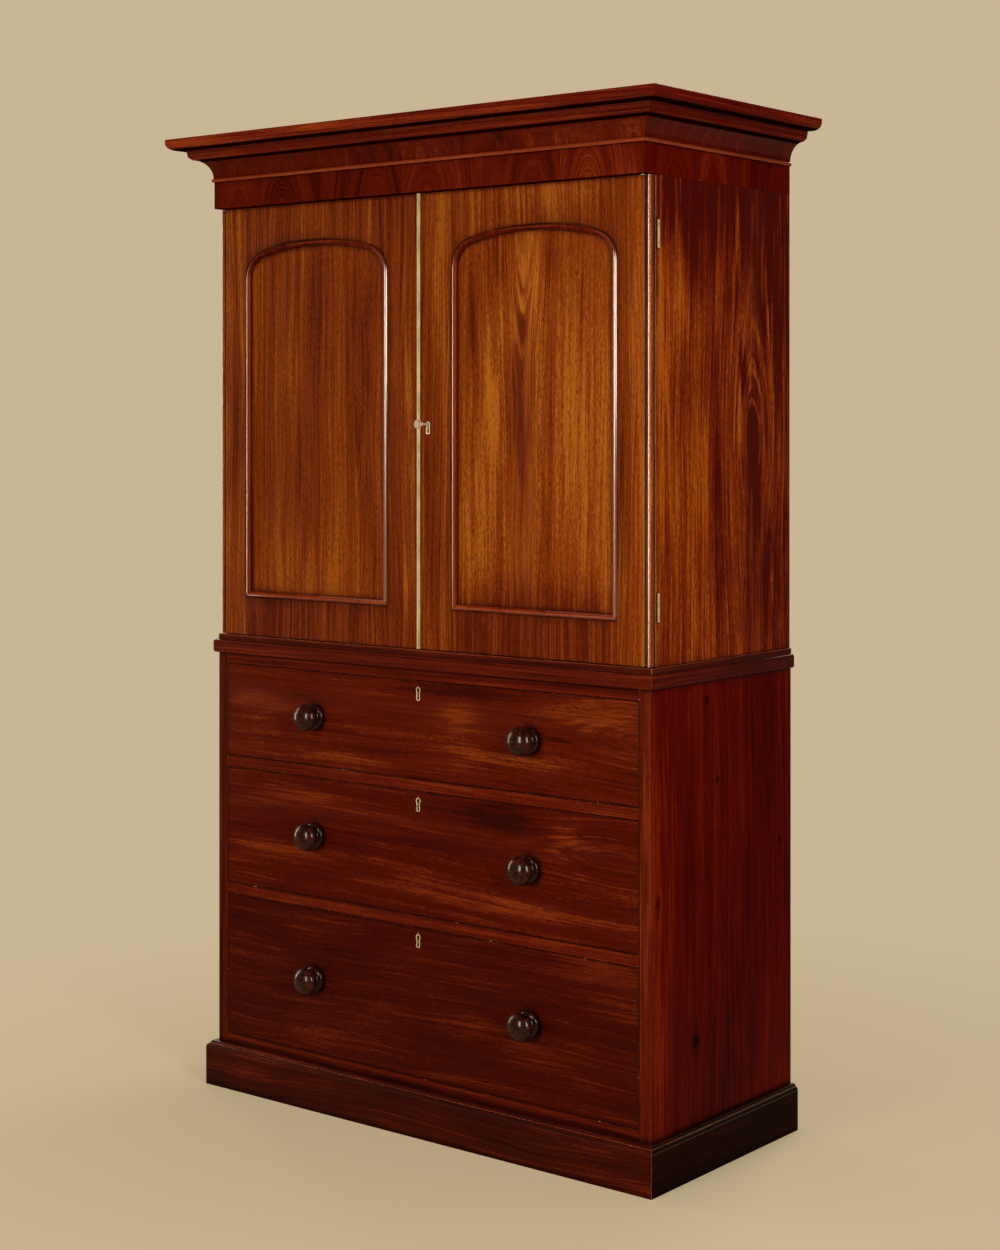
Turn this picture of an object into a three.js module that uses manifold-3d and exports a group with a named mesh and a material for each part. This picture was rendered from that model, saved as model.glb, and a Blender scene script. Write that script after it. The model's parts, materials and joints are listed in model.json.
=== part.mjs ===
// Linen press: a cupboard with two arched panel doors over a chest of three long drawers.
// Millimetres, +Z up, front towards -Y, origin on the floor under the middle of the whole piece.

import * as THREE from 'three'
import { mergeVertices } from 'three/addons/utils/BufferGeometryUtils.js'
import Module from 'manifold-3d'

const wasm = await Module()
wasm.setup()

// Overall sizes and clearances

const chestWidth = 1170
const caseDepth = 512
const seam = 0.3            // glue line or seat between two fixed pieces
const runningGap = 0.5      // between a sliding piece and what it slides on
const overrun = 1           // how far a cutting solid passes the face that it opens
const arcSteps = 5          // flats to a quarter turn of a moulding

// Chest

const plinth = {
  height: 96,
  frontReach: 24,
  sideReach: 17,
  backThickness: 20,
}
// Outline of the plinth moulding: [share of its reach, share of its height]
const plinthOutlineShares = [
  [1, 0], [1, 0.865], [0.97, 0.9], [0.86, 0.925], [0.76, 0.935],
  [0.74, 0.952], [0.64, 0.958], [0.6, 0.975], [0.52, 0.995], [0.4, 1],
]

const chest = {
  sideThickness: 28,
  backThickness: 12,
  bottomRailShown: 20.5,
  bottomRailHidden: 20,
  railHeight: 23.5,
  topRailHeight: 21.5,
  railDepth: 60,
  dustboardThickness: 14,
}
const drawerOpenings = [312, 258.5, 206]   // clear heights, lowest drawer first

const waist = {
  thickness: 29,
  frontReach: 9.5,
  sideReach: 8,
  arris: 6,
}

// Drawers

const drawer = {
  faceGap: 1.2,
  frontThickness: 22,
  backGap: 20,
  sideGap: 1.5,
  sideThickness: 11,
  bottomThickness: 8,
  bottomRaise: 9,
  headroom: 12,
}
const knob = {
  headRadius: 29.5,
  headHalfDepth: 17,
  baseRadius: 27,
  baseDepth: 11,
  neckRadius: 15,
  tenonRadius: 7,
  neckLength: 7.1,
  spacing: 582,
  raise: 4,
  sides: 16,
  headSteps: 6,
}

// Keyholes and their brass rims

const keyhole = {
  roundRadius: 3.4,
  neckHalf: 2.3,
  footHalf: 3.2,
  drop: 18.5,
  footBulge: 1.5,
  rim: 2.2,
  rimDepth: 2.4,
  pocketDepth: 8,
  steps: 10,
}
const drawerKeyholeDrop = 21               // keyhole's round centre below the drawer's top edge

// Cupboard

const cupboard = {
  sideSetIn: 3,
  stepHeight: 12,
  stepReach: 4,
  sideThickness: 20,
  topThickness: 20,
  backThickness: 12,
}
const door = {
  height: 942.5,
  thickness: 21,
  inset: 3,
  footGap: 2,
  headGap: 1.6,
  backGap: 0.3,
  meetingLine: -5,
  meetingGap: 1,
}
const arch = {
  innerEdge: 88,
  outerEdge: 79.5,
  footEdge: 84.5,
  headEdge: 79,
  rise: 78,
  shoulderRadius: 60,
  shoulderSteps: 7,
  crownSteps: 12,
}
const panel = {
  recess: 5,
  thickness: 9,
  rebate: 8,
}
const bead = {
  width: 12,
  proud: 3,
  steps: 6,
}
const staffBead = {
  radius: 6.5,
  quirkWidth: 2.6,
  frontQuirkDepth: 3.5,
  sideQuirkDepth: 2.5,
  steps: 10,
}
const strip = {
  width: 8.5,
  proud: 4,
  steps: 8,
}

// Hinges

const hinge = {
  length: 55,
  endInset: 113,
  leafWidth: 16,
  leafThickness: 1.8,
  barrelRadius: 3,
  pinRadius: 1.3,
  pinPlay: 0.35,
  standOff: 0.5,
  knuckles: 5,
  sides: 12,
}

// Door lock and key

const lock = {
  width: 56,
  height: 76,
  depth: 12,
  wall: 1.4,
  keyFromCentre: 24,
  belowMiddle: 6.25,
}
const bolt = {
  height: 12,
  thickness: 3.4,
  length: 40,
  throwLength: 10,
  endPlay: 2,
}
const key = {
  shankRadius: 2.3,
  bowReach: 32,
  bowRadius: 10,
  bowHoleRadius: 6,
  bowThickness: 3,
  collarRadius: 3.6,
  collarLength: 3,
  bitDrop: 8,
  bitWidth: 2,
  bitPlay: 1.5,
  sides: 12,
}

// Trays

const tray = {
  count: 3,
  setBack: 26,
  grooveDepth: 7,
  tongueThickness: 9,
  sideThickness: 10,
  wallHeight: 74,
  dip: 26,
  footRaise: 25.8,
  backGap: 9.7,
}

// Cornice

const cornice = {
  friezeProud: 17.3,
  friezeHeight: 58.4,
  friezeThickness: 22,
  bearerDepth: 62,
  bearerHeight: 22,
  beadHeight: 9,
  beadReach: 4.8,
  coveHeight: 40.6,
  coveFoot: 1.5,
  coveReach: 34,
  stepHeight: 6,
  stepReach: 41.5,
  filletHeight: 14,
  filletReach: 44,
  soffitReach: 58,
  topHeight: 25,
  topReach: 77.5,
  noseHeight: 17,
  topArris: 3,
}

// Places worked out from the sizes above

const halfChest = chestWidth / 2
const halfCupboard = halfChest - cupboard.sideSetIn
const halfOpening = halfChest - chest.sideThickness
const halfInside = halfCupboard - cupboard.sideThickness
const frontReach = cornice.friezeProud + cornice.topReach
const frontY = (frontReach - caseDepth) / 2
const backY = frontY + caseDepth
const drawerDepth = caseDepth - chest.backThickness - drawer.backGap

const sum = (list) => list.reduce((total, value) => total + value, 0)
const firstOpeningZ = plinth.height + chest.bottomRailShown
const openingBottoms = drawerOpenings.map(
  (_, i) => firstOpeningZ + sum(drawerOpenings.slice(0, i)) + i * chest.railHeight)
const lastOpeningTop = openingBottoms.at(-1) + drawerOpenings.at(-1)
const waistZ = lastOpeningTop + chest.topRailHeight
const waistTop = waistZ + waist.thickness
const cupboardZ = waistTop + cupboard.stepHeight
const doorZ = cupboardZ + door.footGap
const doorY = frontY + door.inset
const cupboardFrontY = doorY + door.thickness + door.backGap
const friezeZ = doorZ + door.height + door.headGap
const cupboardTopUnder = friezeZ - seam - cupboard.topThickness
const pinX = halfCupboard + hinge.standOff + hinge.barrelRadius
const pinY = cupboardFrontY - door.backGap / 2
const hingeHeights = [hinge.endInset, door.height - hinge.endInset]
const keyHeight = door.height / 2 - lock.belowMiddle
const archWidth = halfCupboard - arch.innerEdge - arch.outerEdge
const archSpring = door.height - arch.headEdge - arch.rise
const trayFrontY = cupboardFrontY + tray.setBack
const trayDepth = backY - cupboard.backThickness - tray.backGap - trayFrontY
const firstTrayZ = cupboardZ + tray.footRaise
const trayPitch = (cupboardTopUnder - firstTrayZ) / tray.count
const trayFloors = Array.from({ length: tray.count }, (_, i) => firstTrayZ + i * trayPitch)
const lockBackY = door.thickness - seam
const lockFrontY = lockBackY - lock.depth
const boltBackY = lockBackY - lock.wall - seam
const boltFrontY = boltBackY - bolt.thickness

// Materials

const finishes = {
  mahogany: { color: 0x7a3a17, roughness: 0.35 },
  darkMahogany: { color: 0x4f1d10, roughness: 0.35 },
  redMahogany: { color: 0x5f2412, roughness: 0.35 },
  pine: { color: 0x8f6a42, roughness: 0.75 },
  rosewood: { color: 0x1f0d0a, roughness: 0.15 },
  brass: { color: 0xcdbb85, roughness: 0.3, metalness: 1 },
  iron: { color: 0x6f6a60, roughness: 0.5, metalness: 1 },
}

function piece(parent, name, geometry, finish) {
  const mesh = new THREE.Mesh(geometry, new THREE.MeshStandardMaterial(finishes[finish]))
  mesh.name = name
  parent.add(mesh)
  return mesh
}

function groupAt(parent, x, y, z) {
  const group = new THREE.Group()
  group.position.set(x, y, z)
  parent.add(group)
  return group
}

// Solids: boxes, prisms, turnings, and their cuts and joins

function box(x0, x1, y0, y1, z0, z1) {
  const geometry = new THREE.BoxGeometry(x1 - x0, y1 - y0, z1 - z0)
  return geometry.translate((x0 + x1) / 2, (y0 + y1) / 2, (z0 + z1) / 2)
}

const axisX = new THREE.Vector3(1, 0, 0)
const axisY = new THREE.Vector3(0, 1, 0)
const axisZ = new THREE.Vector3(0, 0, 1)
const prismFrames = {
  x: new THREE.Matrix4().makeBasis(axisY, axisZ, axisX),
  y: new THREE.Matrix4().makeBasis(axisX, axisZ, axisY.clone().negate()),
  z: new THREE.Matrix4(),
}

// An outline in the plane square to the axis, [y, z], [x, z] or [x, y], run along that axis.
function prism(axis, outline, from, to, hole) {
  const shape = new THREE.Shape(outline.map(([u, v]) => new THREE.Vector2(u, v)))
  if (hole) shape.holes.push(new THREE.Path(hole.map(([u, v]) => new THREE.Vector2(u, v))))
  const geometry = new THREE.ExtrudeGeometry(shape, { depth: to - from, bevelEnabled: false })
  geometry.applyMatrix4(prismFrames[axis])
  const start = { x: [from, 0, 0], y: [0, to, 0], z: [0, 0, from] }[axis]
  return geometry.translate(...start)
}

function cylinderY(radius, y0, y1, sides) {
  return new THREE.CylinderGeometry(radius, radius, y1 - y0, sides).translate(0, (y0 + y1) / 2, 0)
}

function cylinderZ(radius, z0, z1, sides) {
  const geometry = new THREE.CylinderGeometry(radius, radius, z1 - z0, sides).rotateX(Math.PI / 2)
  return geometry.translate(0, 0, (z0 + z1) / 2)
}

function toSolid(geometry) {
  const bare = geometry.clone()
  bare.deleteAttribute('normal')
  bare.deleteAttribute('uv')
  const merged = mergeVertices(bare)
  const vertProperties = new Float32Array(merged.attributes.position.array)
  const triVerts = new Uint32Array(merged.index.array)
  return new wasm.Manifold(new wasm.Mesh({ numProp: 3, vertProperties, triVerts }))
}

function toGeometry(solid) {
  const mesh = solid.getMesh()
  const geometry = new THREE.BufferGeometry()
  geometry.setAttribute('position', new THREE.BufferAttribute(mesh.vertProperties, mesh.numProp))
  geometry.setIndex(new THREE.BufferAttribute(mesh.triVerts, 1))
  geometry.computeVertexNormals()
  return geometry
}

const join = (...parts) => toGeometry(parts.map(toSolid).reduce((all, part) => all.add(part)))
const cut = (body, ...tools) =>
  toGeometry(tools.map(toSolid).reduce((all, tool) => all.subtract(tool), toSolid(body)))
const meet = (a, b) => toGeometry(toSolid(a).intersect(toSolid(b)))

// A closed skin over rings of points: each ring joins the next, and the last joins the first
// or, with ends, both ends are capped by a triangulated section.
function skin(rings, capSection) {
  const size = rings[0].length
  const last = capSection ? rings.length - 1 : rings.length
  const index = []
  for (let i = 0; i < last; i++) {
    const a = i * size
    const b = ((i + 1) % rings.length) * size
    for (let j = 0; j < size; j++) {
      const k = (j + 1) % size
      index.push(a + j, b + j, b + k, a + j, b + k, a + k)
    }
  }
  if (capSection) {
    const section = capSection.map(([u, v]) => new THREE.Vector2(u, v))
    const end = (rings.length - 1) * size
    for (const [p, q, r] of THREE.ShapeUtils.triangulateShape(section, [])) {
      index.push(p, q, r, end + p, end + r, end + q)
    }
  }
  const geometry = new THREE.BufferGeometry()
  geometry.setAttribute('position', new THREE.Float32BufferAttribute(rings.flat(2), 3))
  geometry.setIndex(index)
  return outward(geometry)
}

// Turns a closed skin's faces outwards, whichever way its points were listed
function outward(geometry) {
  const index = geometry.index.array
  const position = geometry.attributes.position
  const corner = (i) => new THREE.Vector3().fromBufferAttribute(position, index[i])
  let volume = 0
  for (let i = 0; i < index.length; i += 3) {
    volume += corner(i).dot(corner(i + 1).cross(corner(i + 2)))
  }
  if (volume < 0) {
    for (let i = 0; i < index.length; i += 3) {
      const second = index[i + 1]
      index[i + 1] = index[i + 2]
      index[i + 2] = second
    }
  }
  geometry.computeVertexNormals()
  return geometry
}

// A length of moulding along X with its face towards -Y. The section holds [reach, height] points,
// and each end leans out by its flare for every unit of reach, which makes the mitre.
function mouldingRun(section, from, to, fromFlare, toFlare) {
  const start = section.map(([reach, z]) => [from - fromFlare * reach, -reach, z])
  const end = section.map(([reach, z]) => [to + toFlare * reach, -reach, z])
  return skin([start, end], section)
}

const turnRight = (geometry) => geometry.rotateZ(Math.PI / 2)
const turnLeft = (geometry) => geometry.rotateZ(-Math.PI / 2)

// Points of an elliptical arc, from one angle to the other, in degrees
function arc(cu, cv, ru, rv, fromDegrees, toDegrees, steps) {
  return Array.from({ length: steps + 1 }, (_, i) => {
    const angle = THREE.MathUtils.degToRad(fromDegrees + ((toDegrees - fromDegrees) * i) / steps)
    return [cu + ru * Math.cos(angle), cv + rv * Math.sin(angle)]
  })
}

// Keyhole outline, [x, z] about the centre of its round head, grown all round by a margin
function keyholeOutline(margin) {
  const round = keyhole.roundRadius + margin
  const neck = keyhole.neckHalf + margin
  const foot = keyhole.footHalf + margin
  const neckAngle = THREE.MathUtils.radToDeg(Math.acos(neck / round))
  const head = arc(0, 0, round, round, -neckAngle, 180 + neckAngle, keyhole.steps)
  const footZ = -keyhole.drop - margin + keyhole.footBulge
  const base = arc(0, footZ, foot, keyhole.footBulge, 180, 360, arcSteps)
  return [...head, ...base]
}

const shift = (outline, u, v) => outline.map(([a, b]) => [a + u, b + v])

function escutcheon(parent, name, x, z) {
  const outline = shift(keyholeOutline(keyhole.rim), x, z)
  const hole = shift(keyholeOutline(0), x, z)
  return piece(parent, name, prism('y', outline, 0, keyhole.rimDepth, hole), 'brass')
}

// Cutting solids for an escutcheon's seat and the keyhole behind it
function keyholeCuts(x, z, depth) {
  const seat = shift(keyholeOutline(keyhole.rim + seam), x, z)
  const hole = shift(keyholeOutline(0), x, z)
  return [
    prism('y', seat, -overrun, keyhole.rimDepth + seam),
    prism('y', hole, keyhole.rimDepth, depth),
  ]
}

const press = new THREE.Group()

// Plinth: a moulded board in front and at each side, mitred at the corners, and a plain back rail

function plinthSection(reach) {
  const face = plinthOutlineShares.map(([out, up]) => [out * reach, up * plinth.height])
  return [[seam, 0], ...face, [seam, plinth.height]]
}

function buildPlinth() {
  const toSide = plinth.sideReach / plinth.frontReach
  const half = halfChest - seam
  const front = mouldingRun(plinthSection(plinth.frontReach), -half, half, toSide, toSide)
  piece(groupAt(press, 0, frontY, 0), 'plinth_front', front, 'darkMahogany')

  const toFront = 1 / toSide
  const section = plinthSection(plinth.sideReach)
  const right = turnRight(mouldingRun(section, seam, caseDepth, toFront, 0))
  const left = turnLeft(mouldingRun(section, -caseDepth, -seam, 0, toFront))
  piece(groupAt(press, halfChest, frontY, 0), 'plinth_right', right, 'darkMahogany')
  piece(groupAt(press, -halfChest, frontY, 0), 'plinth_left', left, 'darkMahogany')

  const backHalf = halfOpening - seam
  const back = box(-backHalf, backHalf, backY - plinth.backThickness, backY, 0, plinth.height - seam)
  piece(press, 'plinth_back', back, 'pine')
}

// Chest: two sides on the floor, a back, a front rail and a dustboard under each drawer

function buildChest() {
  const top = waistZ - seam
  const half = halfOpening - seam
  const boardBack = backY - chest.backThickness
  piece(press, 'chest_side_right', box(halfOpening, halfChest, frontY, backY, 0, top), 'darkMahogany')
  piece(press, 'chest_side_left', box(-halfChest, -halfOpening, frontY, backY, 0, top), 'darkMahogany')
  piece(press, 'chest_back', box(-half, half, boardBack, backY, plinth.height, top), 'pine')

  const names = ['bottom', 'lower', 'upper']
  openingBottoms.forEach((z, i) => {
    const drop = i === 0 ? chest.bottomRailShown + chest.bottomRailHidden : chest.railHeight
    const railBack = frontY + chest.railDepth
    piece(press, `rail_${names[i]}`, box(-half, half, frontY, railBack, z - drop, z), 'redMahogany')
    const boardY = [railBack + seam, boardBack - seam]
    const board = box(-half, half, ...boardY, z - chest.dustboardThickness, z)
    piece(press, i === 0 ? 'chest_bottom' : `dustboard_${names[i]}`, board, 'pine')
  })
  const topRail = box(-half, half, frontY, frontY + chest.railDepth, lastOpeningTop, top)
  piece(press, 'rail_top', topRail, 'redMahogany')
  piece(press, 'waist_slab', waistSlab(), 'redMahogany')
}

// The waist slab: one rounded section runs front to back and one side to side, and both bound it.
function waistSlab() {
  const r = waist.arris
  const z0 = waistZ
  const z1 = waistTop
  const frontEdge = frontY - waist.frontReach
  const sideEdge = halfChest + waist.sideReach
  const alongX = [
    ...arc(frontEdge + r, z1 - r, r, r, 90, 180, arcSteps),
    ...arc(frontEdge + r, z0 + r, r, r, 180, 270, arcSteps),
    [backY, z0], [backY, z1],
  ]
  const alongY = [
    ...arc(sideEdge - r, z1 - r, r, r, 0, 90, arcSteps),
    ...arc(r - sideEdge, z1 - r, r, r, 90, 180, arcSteps),
    ...arc(r - sideEdge, z0 + r, r, r, 180, 270, arcSteps),
    ...arc(sideEdge - r, z0 + r, r, r, 270, 360, arcSteps),
  ]
  const reach = sideEdge + overrun
  return meet(prism('x', alongX, -reach, reach), prism('y', alongY, frontEdge - overrun, backY + overrun))
}

// Drawers: a flush front, a box behind it, two turned knobs and a brass keyhole rim

function buildDrawer(openingHeight, index) {
  const name = `drawer_${drawerOpenings.length - index}`
  const group = groupAt(press, 0, frontY, openingBottoms[index])
  const frontHalf = halfOpening - drawer.faceGap
  const frontZ = [drawer.faceGap, openingHeight - drawer.faceGap]
  const knobX = knob.spacing / 2
  const knobZ = openingHeight / 2 + knob.raise
  const keyholeZ = openingHeight - drawerKeyholeDrop

  const holeEnd = drawer.frontThickness + overrun
  const tenonHole = cylinderY(knob.tenonRadius + seam, -overrun, holeEnd, knob.sides)
  const front = cut(
    box(-frontHalf, frontHalf, 0, drawer.frontThickness, ...frontZ),
    tenonHole.clone().translate(knobX, 0, knobZ),
    tenonHole.clone().translate(-knobX, 0, knobZ),
    ...keyholeCuts(0, keyholeZ, keyhole.pocketDepth))
  piece(group, `${name}_front`, front, 'redMahogany')
  piece(group, `${name}_box`, drawerBox(openingHeight), 'pine')
  escutcheon(group, `${name}_escutcheon`, 0, keyholeZ)
  for (const [side, x] of [['left', -knobX], ['right', knobX]]) {
    const mesh = piece(group, `${name}_knob_${side}`, knobSolid(), 'rosewood')
    mesh.position.set(x, 0, knobZ)
  }
}

function drawerBox(openingHeight) {
  const half = halfOpening - drawer.sideGap
  const inner = half - drawer.sideThickness
  const y0 = drawer.frontThickness + seam
  const y1 = drawerDepth
  const top = openingHeight - drawer.headroom
  const wallY = y1 - drawer.sideThickness
  const floorTop = drawer.bottomRaise + drawer.bottomThickness
  return cut(
    box(-half, half, y0, y1, runningGap, top),
    box(-inner, inner, y0 - overrun, wallY, floorTop, top + overrun),
    box(-inner, inner, y0 - overrun, wallY, runningGap - overrun, drawer.bottomRaise))
}

// A knob is turned about its axis, here -Y out of the drawer, with a tenon back through the front.
function knobSolid() {
  const edge = knob.baseDepth / 2
  const neckSlope = Math.acos(knob.neckRadius / knob.headRadius)
  const neckAngle = THREE.MathUtils.radToDeg(neckSlope)
  const neckEnd = seam + knob.baseDepth + knob.neckLength
  const headY = neckEnd + knob.headHalfDepth * Math.sin(neckSlope)
  const outline = [
    [0, -drawer.frontThickness], [knob.tenonRadius, -drawer.frontThickness], [knob.tenonRadius, seam],
    ...arc(knob.baseRadius - edge, seam + edge, edge, edge, -90, 90, arcSteps),
    [knob.neckRadius, seam + knob.baseDepth],
    ...arc(0, headY, knob.headRadius, knob.headHalfDepth, -neckAngle, 90, knob.headSteps).slice(0, -1),
    [0, headY + knob.headHalfDepth],
  ]
  const points = outline.map(([radius, y]) => new THREE.Vector2(radius, y))
  return outward(new THREE.LatheGeometry(points, knob.sides)).rotateX(Math.PI)
}

// Cupboard: a stepped base board on the waist, grooved sides, a top and a back

function buildCupboard() {
  const baseHalf = halfCupboard + cupboard.stepReach
  const base = box(-baseHalf, baseHalf, frontY, backY, waistTop + seam, cupboardZ)
  piece(press, 'cupboard_bottom', base, 'darkMahogany')
  piece(press, 'cupboard_side_right', cupboardSide(1), 'mahogany')
  piece(press, 'cupboard_side_left', cupboardSide(-1), 'mahogany')

  const half = halfInside - seam
  const top = friezeZ - seam
  const backFront = backY - cupboard.backThickness
  piece(press, 'cupboard_top', box(-half, half, cupboardFrontY, backY, cupboardTopUnder, top), 'pine')
  const back = box(
    -half, half, backFront, backY, cupboardZ + seam, cupboardTopUnder - seam)
  piece(press, 'cupboard_back', back, 'pine')
}

function cupboardSide(hand) {
  const board = sideways(
    hand, halfInside, halfCupboard, cupboardFrontY, backY, cupboardZ + seam, friezeZ - seam)
  const grooveHeight = tray.tongueThickness + 2 * runningGap
  const grooveEnd = trayFrontY + trayDepth + runningGap
  const grooves = trayFloors.map((floor) => sideways(
    hand, halfInside - overrun, halfInside + tray.grooveDepth,
    cupboardFrontY - overrun, grooveEnd, floor, floor + grooveHeight))
  const leafSeats = hingeHeights.map((height) => sideways(
    hand, halfCupboard - hinge.leafWidth - seam, halfCupboard + overrun,
    cupboardFrontY - overrun, cupboardFrontY + hinge.leafThickness + seam,
    doorZ + height - hinge.length / 2 - seam, doorZ + height + hinge.length / 2 + seam))
  return cut(board, ...grooves, ...leafSeats)
}

// A box given for the right-hand side, or its mirror on the left
function sideways(hand, x0, x1, y0, y1, z0, z1) {
  return hand > 0 ? box(x0, x1, y0, y1, z0, z1) : box(-x1, -x0, y0, y1, z0, z1)
}

// Trays: a board that runs in the grooves, with a wall all round that dips in front

function buildTray(floor, index) {
  const group = groupAt(press, 0, trayFrontY, floor)
  const tongueHalf = halfInside + tray.grooveDepth - runningGap
  const half = halfInside - runningGap
  const inner = half - tray.sideThickness
  const z0 = runningGap
  const z1 = z0 + tray.tongueThickness
  const walls = z1 + tray.wallHeight
  const dipFoot = walls - tray.dip
  const dipHalf = inner / 2
  const dip = [
    [-inner, walls + overrun], [-inner, walls], [-dipHalf, dipFoot], [dipHalf, dipFoot],
    [inner, walls], [inner, walls + overrun],
  ]
  const body = join(
    box(-tongueHalf, tongueHalf, 0, trayDepth, z0, z1),
    box(-half, half, 0, trayDepth, (z0 + z1) / 2, walls))
  const backWallY = trayDepth - tray.sideThickness
  const hollow = box(-inner, inner, tray.sideThickness, backWallY, z1, walls + overrun)
  piece(group, `tray_${tray.count - index}`, cut(
    body, hollow, prism('y', dip, -overrun, tray.sideThickness + overrun)), 'pine')
}

// Doors: a frame with an arched opening, a panel let in from behind, a planted bead and two hinges.
// Every size is for the right-hand door, with x away from the middle, and hand mirrors it.

const crownRadius = () => {
  const side = archWidth / 2 - arch.shoulderRadius
  const r = arch.shoulderRadius
  return (side * side + arch.rise * arch.rise - r * r) / (2 * (arch.rise - r))
}

// The arched outline, [x, z], grown outwards by a margin: straight sides, two shoulder arcs and
// a flatter crown that meets them smoothly.
function archOutline(hand, margin) {
  const crown = crownRadius()
  const half = archWidth / 2
  const middle = hand * (arch.innerEdge + half)
  const shoulder = half - arch.shoulderRadius
  const crownZ = archSpring + arch.rise - crown
  const lean = THREE.MathUtils.radToDeg(Math.atan2(archSpring - crownZ, shoulder))
  const r = arch.shoulderRadius + margin
  const outline = [
    [-half - margin, arch.footEdge - margin], [half + margin, arch.footEdge - margin],
    ...arc(shoulder, archSpring, r, r, 0, lean, arch.shoulderSteps),
    ...arc(0, crownZ, crown + margin, crown + margin, lean, 180 - lean, arch.crownSteps).slice(1, -1),
    ...arc(-shoulder, archSpring, r, r, 180 - lean, 180, arch.shoulderSteps),
  ]
  return shift(outline, middle, 0)
}

// Cutting solid for the rounded corner bead and its quirks along the hinge side
function staffBeadCut(hand) {
  const { radius, quirkWidth, frontQuirkDepth, sideQuirkDepth, steps } = staffBead
  const fall = (depth) => Math.sqrt(radius * radius - (radius - depth) * (radius - depth))
  const frontFoot = radius + fall(frontQuirkDepth)
  const sideFoot = radius + fall(sideQuirkDepth)
  const startAngle = THREE.MathUtils.radToDeg(Math.atan2(frontQuirkDepth - radius, frontFoot - radius))
  const endAngle = THREE.MathUtils.radToDeg(Math.atan2(sideFoot - radius, sideQuirkDepth - radius))
  const round = arc(radius, radius, radius, radius, startAngle, endAngle - 360, steps)
  const inward = [
    [2 * radius + quirkWidth, -overrun], [2 * radius + quirkWidth, frontQuirkDepth],
    ...round,
    [sideQuirkDepth, 2 * radius + quirkWidth], [-overrun, 2 * radius + quirkWidth], [-overrun, -overrun],
  ]
  const outline = inward.map(([inset, y]) => [hand * (halfCupboard - inset), y])
  return prism('z', outline, -overrun, door.height + overrun)
}

const meetingEdge = (hand) => door.meetingLine + (hand * door.meetingGap) / 2

function buildDoor(side, hand) {
  const group = groupAt(press, 0, doorY, doorZ)
  const inner = hand * meetingEdge(hand)
  const outline = [
    [hand * inner, 0], [hand * halfCupboard, 0],
    [hand * halfCupboard, door.height], [hand * inner, door.height],
  ]
  const leafSeats = hingeHeights.map((height) => sideways(
    hand, halfCupboard - hinge.leafWidth - seam, halfCupboard + overrun,
    door.thickness - hinge.leafThickness - seam, door.thickness + overrun,
    height - hinge.length / 2 - seam, height + hinge.length / 2 + seam))
  const frame = cut(
    prism('y', outline, 0, door.thickness, archOutline(hand, 0)),
    prism('y', archOutline(hand, panel.rebate), panel.recess, door.thickness + overrun),
    staffBeadCut(hand),
    ...leafSeats,
    ...(hand > 0 ? lockCuts() : [boltMortise()]))
  piece(group, `${side}_door_frame`, frame, 'mahogany')

  const panelY = panel.recess + seam
  const board = prism('y', archOutline(hand, panel.rebate - seam), panelY, panelY + panel.thickness)
  piece(group, `${side}_door_panel`, board, 'mahogany')
  piece(group, `${side}_door_bead`, panelBead(hand), 'redMahogany')
  if (hand > 0) piece(group, 'meeting_strip', meetingStrip(), 'brass')

  const ends = ['lower', 'upper']
  hingeHeights.forEach((height, i) => {
    const doorPlace = groupAt(press, hand * pinX, pinY, doorZ + height)
    piece(doorPlace, `${side}_door_leaf_${ends[i]}`, hingeLeaf(hand, -1), 'brass')
    piece(doorPlace, `${side}_case_leaf_${ends[i]}`, hingeLeaf(hand, 1), 'brass')
  })
}

// A half-round bead that lines the arched opening and stands on the panel
function panelBead(hand) {
  const half = (bead.width - seam) / 2
  const crest = arc(half, 0, half, panel.recess / 2 + bead.proud, 0, 180, bead.steps)
  const section = [
    [2 * half, panel.recess], ...crest.map(([u, v]) => [u, panel.recess / 2 - v]), [0, panel.recess],
  ]
  const rings = section.map(([inset, y]) =>
    archOutline(hand, inset - 2 * half - seam).map(([x, z]) => [x, y, z]))
  return skin(rings)
}

function meetingStrip() {
  const x0 = meetingEdge(1)
  const half = strip.width / 2
  const face = arc(x0 + half, -seam, half, strip.proud - seam, 180, 360, strip.steps)
  return prism('z', face, 0, door.height)
}

// Butt hinge leaf about the pin's centre. The case leaf (back = 1) has the outer knuckles and
// the pin, and the door leaf (back = -1) has the knuckles between them, bored for the pin.
function hingeLeaf(hand, back) {
  const pitch = hinge.length / hinge.knuckles
  const near = door.backGap / 2
  const y = back > 0 ? [near, near + hinge.leafThickness] : [-near - hinge.leafThickness, -near]
  const edge = halfCupboard - pinX
  const plate = sideways(hand, edge - hinge.leafWidth, edge, ...y, -hinge.length / 2, hinge.length / 2)
  const first = back > 0 ? 0 : 1
  const parts = [plate]
  for (let i = first; i < hinge.knuckles; i += 2) {
    const z0 = -hinge.length / 2 + i * pitch + (i > 0 ? seam / 2 : 0)
    const z1 = -hinge.length / 2 + (i + 1) * pitch - (i < hinge.knuckles - 1 ? seam / 2 : 0)
    parts.push(cylinderZ(hinge.barrelRadius, z0, z1, hinge.sides))
    parts.push(sideways(hand, edge - overrun, 0, ...y, z0, z1))
  }
  const reach = hinge.length / 2
  if (back > 0) return join(...parts, cylinderZ(hinge.pinRadius, -reach, reach, hinge.sides))
  const bore = cylinderZ(hinge.pinRadius + hinge.pinPlay, -reach - overrun, reach + overrun, hinge.sides)
  return cut(join(...parts), bore)
}

// Lock: a case let into the right door's meeting edge, a sliding bolt and a key that throws it

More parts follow.
